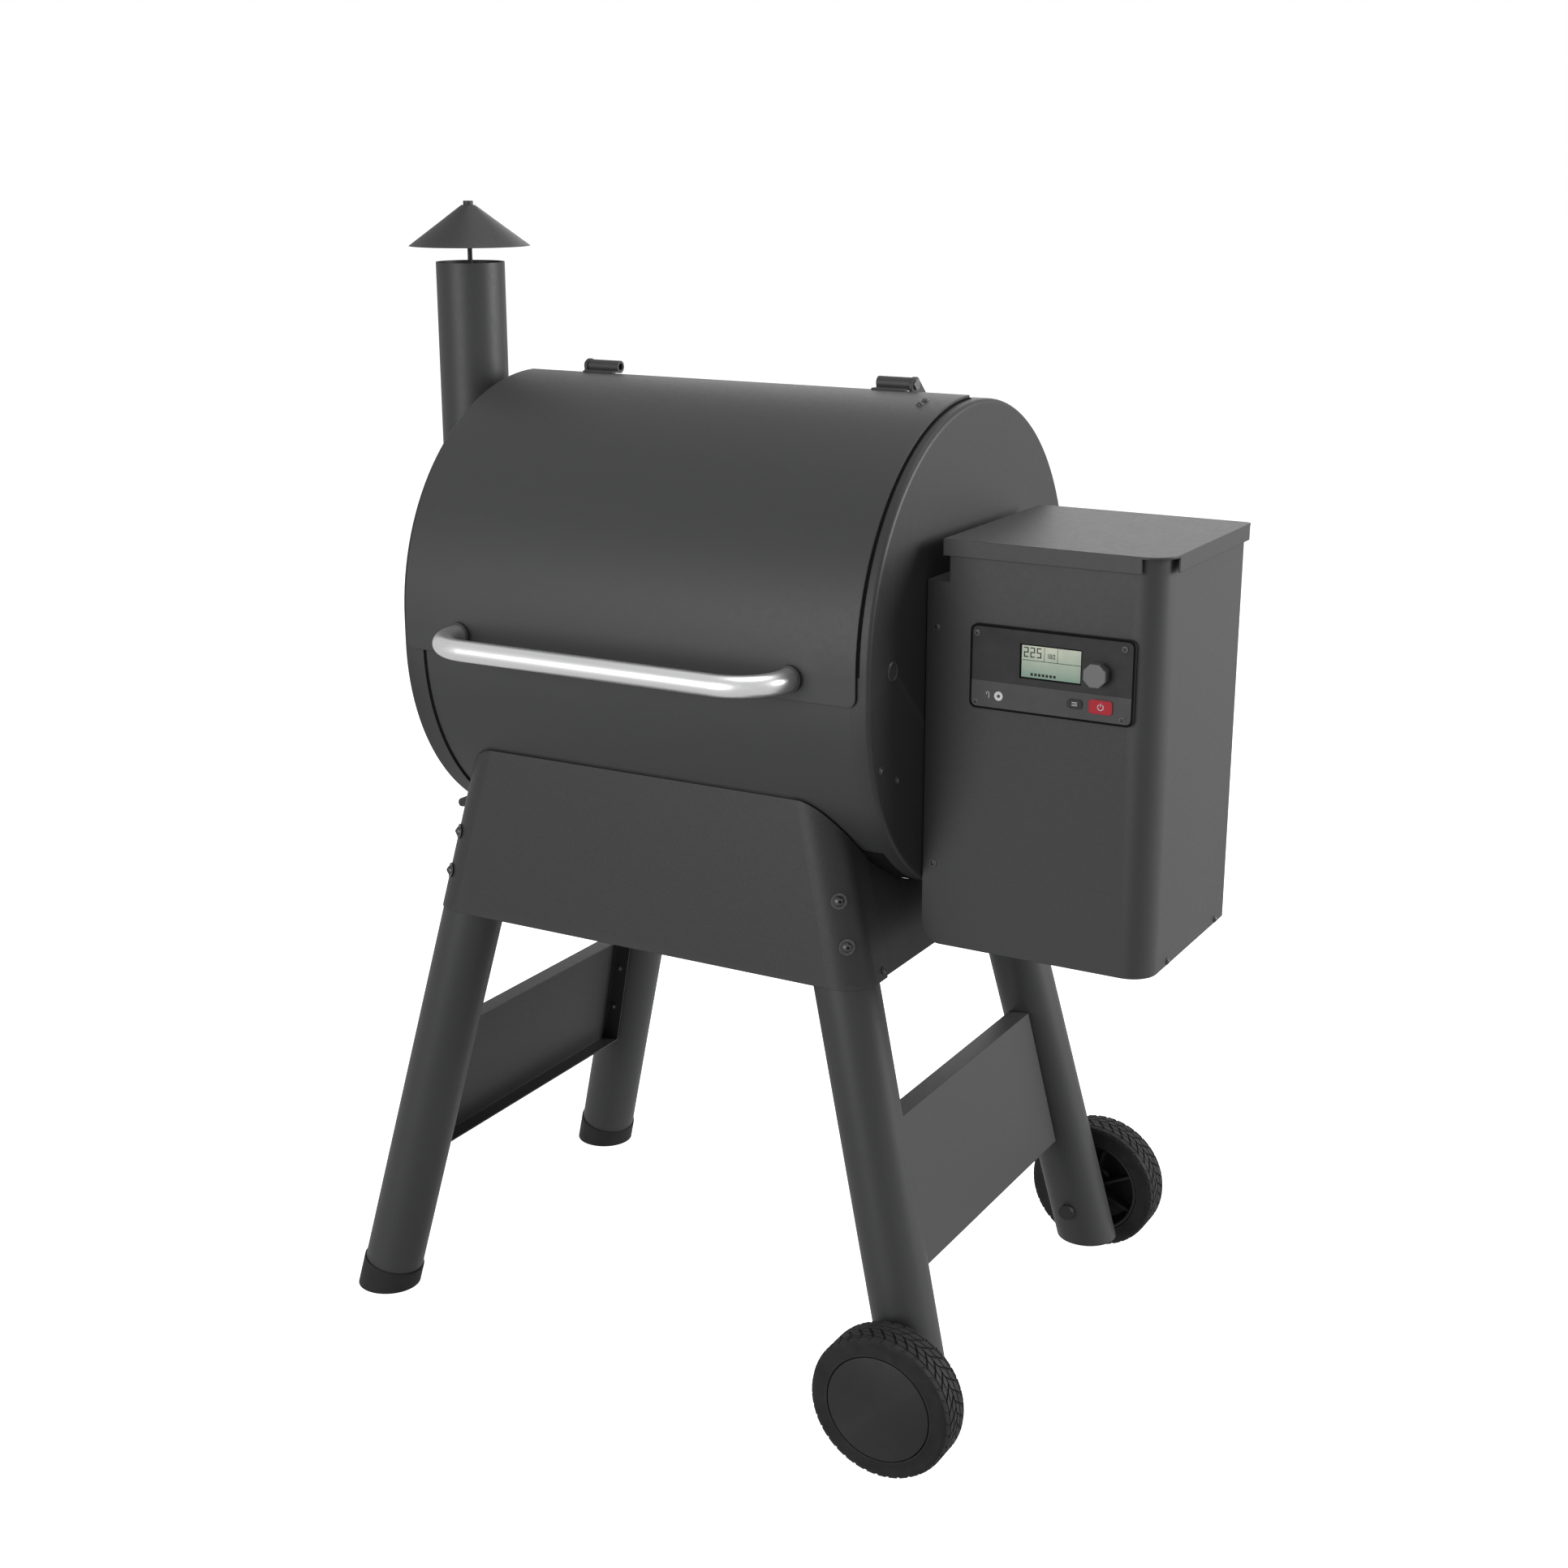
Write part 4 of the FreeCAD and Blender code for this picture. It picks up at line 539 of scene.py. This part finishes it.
def edge_strip(name, x0, x1, inner, outer, low_angle, body, lowest=-math.inf,
               highest=math.inf):
    """A thin black strip bent round the barrel: painted shadow that darkens a seam."""
    bm = bmesh.new()
    loops = []
    for (y0, z0), (y1, z1) in zip(barrel_line(inner, low_angle), barrel_line(outer, low_angle)):
        if lowest <= z0 <= highest:
            loops.append([bm.verts.new(point) for point in
                          ((x0, y0, z0), (x1, y0, z0), (x1, y1, z1), (x0, y1, z1))])
    bm.faces.new(loops[0])
    bm.faces.new(loops[-1])
    for loop, following in zip(loops, loops[1:]):
        band(bm, loop, following)
    # flat black: painted shadow in the seam
    smooth(piece(name, bm, "black_and_painted_shadow", body, "rubber"))


def seams():
    """Black strips of painted shadow in the seams of the left cap, under the lid's edges and over
    the skirts.
    """
    left_low, left_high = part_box("barrel_end_left")
    right_low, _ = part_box("barrel_end_right")
    lid_low, lid_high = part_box("lid_shell")
    barrel = (left_high.y - left_low.y) / 2
    shell = barrel - 2.1 * MM
    cap_wide, cap_thick = 2.6 * MM, 0.5 * MM
    edge_strip("left_cap_shadow_strip", left_high.x, left_high.x + cap_wide, shell, shell + cap_thick,
               FRONT_ANGLE, "grill")
    lid_inward, lid_outward, lid_inner, lid_outer = 4.8 * MM, 2.4 * MM, 0.25 * MM, 1.4 * MM
    lid_start = lid_low.z + 9 * MM
    for name, side_x, outward in (("left", lid_low.x, -1), ("right", lid_high.x, 1)):
        edges = sorted((side_x - outward * lid_inward, side_x + outward * lid_outward))
        edge_strip(f"lid_{name}_seal", *edges, barrel + lid_inner, barrel + lid_outer,
                   FRONT_ANGLE, "lid", lowest=lid_start)
    reach, clear_left, clear_right, proud = 34 * MM, 3 * MM, 0.2 * MM, 0.1 * MM
    skirt_top = left_low.z + 80 * MM
    for name, x0, x1 in (("left", left_high.x + clear_left, left_high.x + reach),
                         ("right", right_low.x - reach, right_low.x - clear_right)):
        edge_strip(f"skirt_{name}_seal", x0, x1, shell, barrel + proud, SKIRT_ANGLE, "grill",
                   highest=skirt_top)


# ---------------------------------------------------------------- end port and painted shade in the screw sockets
def port_plug():
    """A snap-in grommet: a rounded ring about a shallow disc."""
    low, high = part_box("end_port_plug")
    centre = (low + high) / 2
    outer = (high.z - low.z) / 2
    steps = 64
    wall = high.x - 3 * MM      # the end cap's outer face
    proud, sunk, ring_wide = 2.2 * MM, 1 * MM, 2.2 * MM
    # Each corner's distance out from the wall, and in from the ring's outer edge.
    corners = ((-sunk, ring_wide), (1.5 * MM, ring_wide), (proud, 1.7 * MM), (proud, 0.9 * MM),
               (1.4 * MM, 0.2 * MM), (0, 0), (-sunk, 0))
    ring = [(wall + out, outer - inward) for out, inward in corners]
    disc_face, disc_back, disc_edge = wall + 0.9 * MM, wall - 1.5 * MM, outer - 2.1 * MM
    disc = [(disc_face, PIN), (disc_face, disc_edge), (disc_back, disc_edge), (disc_back, PIN)]
    bm = bmesh.new()
    for outline in (ring, disc):
        lathe(bm, outline, centre, steps, along_x=True)
    smooth(piece("port_grommet", bm, "grommet", "grill", "black_plastic", "end_port_plug"))


def islands(mesh):
    """The separate solids of a mesh in its vertices' order, each as a list of points."""
    bm = bmesh.new()
    bm.from_mesh(mesh)
    seen, groups = set(), []
    for first in bm.verts:
        if first in seen:
            continue
        seen.add(first)
        fringe, group = [first], []
        while fringe:
            vert = fringe.pop()
            group.append(vert.co.copy())
            for edge in vert.link_edges:
                other = edge.other_vert(vert)
                if other not in seen:
                    seen.add(other)
                    fringe.append(other)
        groups.append(group)
    bm.free()
    return groups


def screw_axis(points):
    """A screw's middle and outward direction: the thin way through it, from washer to head."""
    least_share, tries = 0.001, 40
    middle = sum(points, Vector()) / len(points)
    spread = Matrix(((0, 0, 0), (0, 0, 0), (0, 0, 0)))
    for point in points:
        off = point - middle
        for row in range(3):
            for column in range(3):
                spread[row][column] += off[row] * off[column]
    spread += Matrix.Identity(3) * (spread[0][0] + spread[1][1] + spread[2][2]) * least_share
    thin = Vector((0.31, 0.53, 0.79))       # a start square to none of the screws
    inverse = spread.inverted()
    for _ in range(tries):
        thin = (inverse @ thin).normalized()
    along = [(point - middle).dot(thin) for point in points]
    half = (max(along) + min(along)) / 2
    reach = [[((point - middle) - thin * share).length for point, share in zip(points, along)
              if (share > half) == upper] or [0] for upper in (True, False)]
    return middle, thin if max(reach[0]) < max(reach[1]) else -thin


def screw_socket_shades():
    """A dark hexagon on every screw head of the stand, the ends and the panel: painted shade for
    its socket.
    """
    sunk, proud, share = 0.5 * MM, 0.06 * MM, 0.30
    bm = bmesh.new()
    place = nodes["body_screws"].matrix_world
    for group in islands(nodes["body_screws"].data):
        points = [place @ point for point in group]
        middle, out = screw_axis(points)
        reach = max(((point - middle) - out * (point - middle).dot(out)).length
                    for point in points)
        top = middle + out * max((point - middle).dot(out) for point in points)
        # a flat black hexagon barely proud of the head: painted shade, not a recess
        rod(bm, top - out * sunk, top + out * proud, reach * share, sides=6)
    piece("screw_socket_shades", bm, "black_and_painted_shadow", "grill", "dark_screw")


# ---------------------------------------------------------------- control panel marks
INK_THICK = 0.1 * MM
PRINT_PROUD = 0.08 * MM         # of the face below it
STRIP_PROUD = 0.35 * MM
PANEL_CORNER = 7 * MM
# The lit bars of each digit shown: a at the top, then clockwise to f, and g in the middle.
SEGMENTS = {"0": "abcdef", "1": "bc", "2": "abged", "5": "afgcd", "8": "abcdefg"}


def digit(bm, symbol, x, z, wide, high, stroke, front):
    """A seven-segment digit with its lower left corner at (x, z)."""
    half, thin = high / 2, stroke / 2
    bars = {"a": (0, high - stroke, wide, high), "g": (0, half - thin, wide, half + thin),
            "d": (0, 0, wide, stroke), "f": (0, half, stroke, high), "e": (0, 0, stroke, half),
            "b": (wide - stroke, half, wide, high), "c": (wide - stroke, 0, wide, half)}
    inset = stroke * 0.12
    for key in SEGMENTS[symbol]:
        x0, z0, x1, z1 = bars[key]
        plate(bm, rounded(x + x0 + inset, x + x1 - inset, z + z0 + inset, z + z1 - inset, 0, 0),
              front, INK_THICK)


def bar(bm, x0, x1, z0, z1, front):
    """A thin rectangle of ink that faces the front."""
    plate(bm, rounded(x0, x1, z0, z1, 0, 0), front, INK_THICK)


def ring_plate(bm, outer, inner, front, thick):
    """A flat frame between two outlines of equal length."""
    rows = [[bm.verts.new((x, y, z)) for x, z in outline]
            for outline, y in ((outer, front), (inner, front), (inner, front + thick),
                               (outer, front + thick))]
    for row, following in zip(rows, rows[1:] + rows[:1]):
        band(bm, row, following)


def screen_marks():
    """A set temperature, a small second reading, dividing lines and a row of blocks."""
    low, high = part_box("lcd_display")
    size = high - low
    front = low.y - 0.14 * MM       # proud of the screen, behind its frame's face
    bm = bmesh.new()

    def area(x0, x1, z0, z1):
        """Shares of the screen's width and height as places on it."""
        return low.x + x0 * size.x, low.x + x1 * size.x, low.z + z0 * size.z, low.z + z1 * size.z

    def reading(symbols, start, pitch, foot, wide, tall, stroke):
        """A row of digits, placed and sized in shares of the screen."""
        for index, symbol in enumerate(symbols):
            x0, x1, z0, z1 = area(start + pitch * index, start + pitch * index + wide, foot,
                                  foot + tall)
            digit(bm, symbol, x0, z0, x1 - x0, z1 - z0, stroke, front)
    reading("225", start=0.05, pitch=0.105, foot=0.62, wide=0.080, tall=0.30, stroke=1.45 * MM)
    reading("180", start=0.42, pitch=0.052, foot=0.64, wide=0.038, tall=0.14, stroke=0.75 * MM)
    line, line_top, upright, upright_top = 0.53, 0.545, 0.006, 0.95
    bar(bm, *area(0.03, 0.98, line, line_top), front)
    for share in (0.385, 0.60):
        bar(bm, *area(share, share + upright, line_top, upright_top), front)
    blocks, first, pitch, block, block_foot, block_top = 7, 0.17, 0.062, 0.04, 0.09, 0.17
    for index in range(blocks):
        start = first + pitch * index
        bar(bm, *area(start, start + block, block_foot, block_top), front)
    piece("screen_digits", bm, "ink", "grill", "screen")


def screen_surround():
    """A thin black frame round the display."""
    low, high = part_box("lcd_display")
    out, inward, proud, thick = 0.2 * MM, 1.2 * MM, 0.24 * MM, 0.3 * MM
    bm = bmesh.new()
    ring_plate(bm, rounded(low.x - out, high.x + out, low.z - out, high.z + out, PIN, PIN, 1),
               rounded(low.x + inward, high.x - inward, low.z + inward, high.z - inward, PIN,
                       PIN, 1),
               low.y - proud, thick)
    piece("screen_surround", bm, "black_and_painted_shadow", "grill", "black_plastic")


def panel_strip_and_rim():
    """The lighter lower strip of the panel, and the black rim round the whole of it."""
    low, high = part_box("panel_bezel")
    _, key_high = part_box("ignite_button")
    edge, strip_thick, rim_proud, rim_thick = 2.2 * MM, 0.5 * MM, 0.65 * MM, 0.8 * MM
    strip_top = key_high.z + 5.3 * MM
    inner_corner = PANEL_CORNER - 1.3 * MM
    inner = (low.x + edge, high.x - edge, low.z + edge)
    bm = bmesh.new()
    plate(bm, rounded(*inner, strip_top, inner_corner, 0), low.y - STRIP_PROUD, strip_thick)
    piece("panel_lower_strip", bm, "strip_plastic", "grill", "panel_plastic")
    bm = bmesh.new()
    ring_plate(bm, rounded(low.x, high.x, low.z, high.z, PANEL_CORNER, PANEL_CORNER),
               rounded(*inner, high.z - edge, inner_corner, inner_corner), low.y - rim_proud,
               rim_thick)
    piece("panel_rim", bm, "black_and_painted_shadow", "grill", "panel_plastic")


def menu_glyph():
    """Three short bars on the menu key."""
    low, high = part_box("menu_button")
    middle = (low + high) / 2
    half_wide, half_thick, pitch = 3 * MM, 0.35 * MM, 1.7 * MM
    bm = bmesh.new()
    for row in (-1, 0, 1):
        z = middle.z + row * pitch
        bar(bm, middle.x - half_wide, middle.x + half_wide, z - half_thick, z + half_thick,
            low.y - PRINT_PROUD)
    piece("menu_glyph", bm, "print", "menu_key", "panel_plastic")


def ignite_glyph():
    """An open ring with an upright bar in its gap, on the red key."""
    low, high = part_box("ignite_button")
    middle = (low + high) / 2
    front = low.y - PRINT_PROUD
    steps, radius, thick, start, sweep = 20, 3.6 * MM, 0.9 * MM, 125, 290
    bm = bmesh.new()
    for step in range(steps):
        a, b = (math.radians(start + sweep * (step + k) / steps) for k in (0, 1))
        corners = ((a, radius), (b, radius), (b, radius - thick), (a, radius - thick))
        outline = [(middle.x + reach * math.cos(turn), middle.z + reach * math.sin(turn))
                   for turn, reach in corners]
        plate(bm, outline, front, INK_THICK)
    rise = 0.6 * MM
    bar(bm, middle.x - thick / 2, middle.x + thick / 2, middle.z + rise,
        middle.z + radius + rise, front)
    piece("ignite_glyph", bm, "print", "ignite_key", "red_plastic")


def socket_glyph():
    """A bent probe beside its socket, drawn with three bars."""
    low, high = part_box("probe_jack")
    panel_low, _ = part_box("panel_bezel")
    z = (low.z + high.z) / 2
    front = panel_low.y - STRIP_PROUD - PRINT_PROUD
    gap, thick, wide, tall, tip = 6.1 * MM, 0.8 * MM, 3.8 * MM, 7.2 * MM, 3 * MM
    right, top = low.x - gap, z + tall / 2
    left = right - wide
    bm = bmesh.new()
    bar(bm, right - thick, right, top - tall, top, front)
    bar(bm, left, right, top - thick, top, front)
    bar(bm, left, left + thick, top - tip, top, front)
    piece("socket_glyph", bm, "print", "grill", "panel_plastic")


# ---------------------------------------------------------------- all the finer pieces
for wheel in ("front", "rear"):
    tyre(wheel, wheel + "_wheel")
    hubcap(wheel, wheel + "_wheel")
    rim(wheel, wheel + "_wheel")
grate("grate_left")
grate("grate_right")
seams()
port_plug()
screw_socket_shades()
screen_marks()
screen_surround()
panel_strip_and_rim()
menu_glyph()
ignite_glyph()
socket_glyph()


# ---------------------------------------------------------------- stage, light and camera
FLOOR_RADIUS = 40
FLOOR_DROP = 0.5 * MM           # below the feet, so that no faces share a plane
GRILL_MIDDLE = (0.0, 0.0, 0.7)
# How bright the white room is as light on the object and as a reflection in its gloss.
DIFFUSE_SHARE = 0.16
GLOSS_SHARE = 0.6
# Each lamp's name, place, width and power. All face the grill's middle.
LAMPS = (("key", (3.8, 1.9, 1.9), 2.2, 160), ("front", (-1.0, -4.6, 1.5), 3.0, 105),
         ("top", (0.6, 0.4, 4.6), 3.0, 40), ("back", (-1.4, 4.2, 2.6), 3.2, 30))
# The photo's viewpoint: in front, to the right and a little above.
VIEWPOINT = (1.26445, -2.2326, 1.4170)
LOOK_DOWN, LOOK_LEFT = 16.26, 29.54     # degrees
FOCAL_LENGTH = 50.98                    # millimetres, on a sensor 36 wide


def stage():
    """A white floor that glows a little, so that it meets the white backdrop unseen."""
    bm = bmesh.new()
    bmesh.ops.create_circle(bm, cap_ends=True, segments=96, radius=FLOOR_RADIUS)
    mesh = bpy.data.meshes.new("floor")
    bm.to_mesh(mesh)
    bm.free()
    floor = bpy.data.objects.new("floor", mesh)
    floor.location.z = -FLOOR_DROP
    scene.collection.objects.link(floor)
    made = Surface("pale_floor", 0.9, specular=0.1)
    made.colour(made.blend(made.spread(made.noise(0.7), 0, 1), (0.86, 0.86, 0.86),
                           (0.88, 0.88, 0.88)))
    made.shader.inputs["Emission Color"].default_value = (1, 1, 1, 1)
    made.shader.inputs["Emission Strength"].default_value = 1.0
    mesh.materials.append(made.material)
    floor.visible_diffuse = False
    floor.visible_glossy = False


def soft_box(name, place, size, power):
    """A round area lamp that faces the grill's middle."""
    light = bpy.data.lights.new(name, "AREA")
    light.shape = "DISK"
    light.size = size
    light.energy = power
    lamp = bpy.data.objects.new(name, light)
    lamp.location = place
    aim = Vector(GRILL_MIDDLE) - Vector(place)
    lamp.rotation_euler = aim.to_track_quat("-Z", "Y").to_euler()
    scene.collection.objects.link(lamp)


def studio():
    """A white room: full white behind the object, dimmer as light and in its gloss, and lamps."""
    world = bpy.data.worlds.new("studio")
    world.use_nodes = True
    tree = world.node_tree
    back = tree.nodes["Background"]
    back.inputs["Color"].default_value = (1, 1, 1, 1)
    path = tree.nodes.new("ShaderNodeLightPath")

    def pick(ray, otherwise, level):
        """The level for one kind of ray, and otherwise a number or another socket."""
        share = tree.nodes.new("ShaderNodeMapRange")
        share.inputs["To Max"].default_value = level
        if isinstance(otherwise, float):
            share.inputs["To Min"].default_value = otherwise
        else:
            tree.links.new(otherwise, share.inputs["To Min"])
        tree.links.new(path.outputs[ray], share.inputs["Value"])
        return share.outputs["Result"]
    indirect = pick("Is Glossy Ray", DIFFUSE_SHARE, GLOSS_SHARE)
    tree.links.new(pick("Is Camera Ray", indirect, 1.0), back.inputs["Strength"])
    scene.world = world
    for lamp in LAMPS:
        soft_box(*lamp)


def camera():
    """A camera at the photo's viewpoint."""
    data = bpy.data.cameras.new("camera")
    data.lens = FOCAL_LENGTH
    data.sensor_width = 36
    viewer = bpy.data.objects.new("camera", data)
    viewer.location = VIEWPOINT
    viewer.rotation_euler = (math.radians(90 - LOOK_DOWN), 0, math.radians(LOOK_LEFT))
    scene.collection.objects.link(viewer)
    scene.camera = viewer


scene.view_settings.view_transform = "Standard"
stage()
studio()
camera()
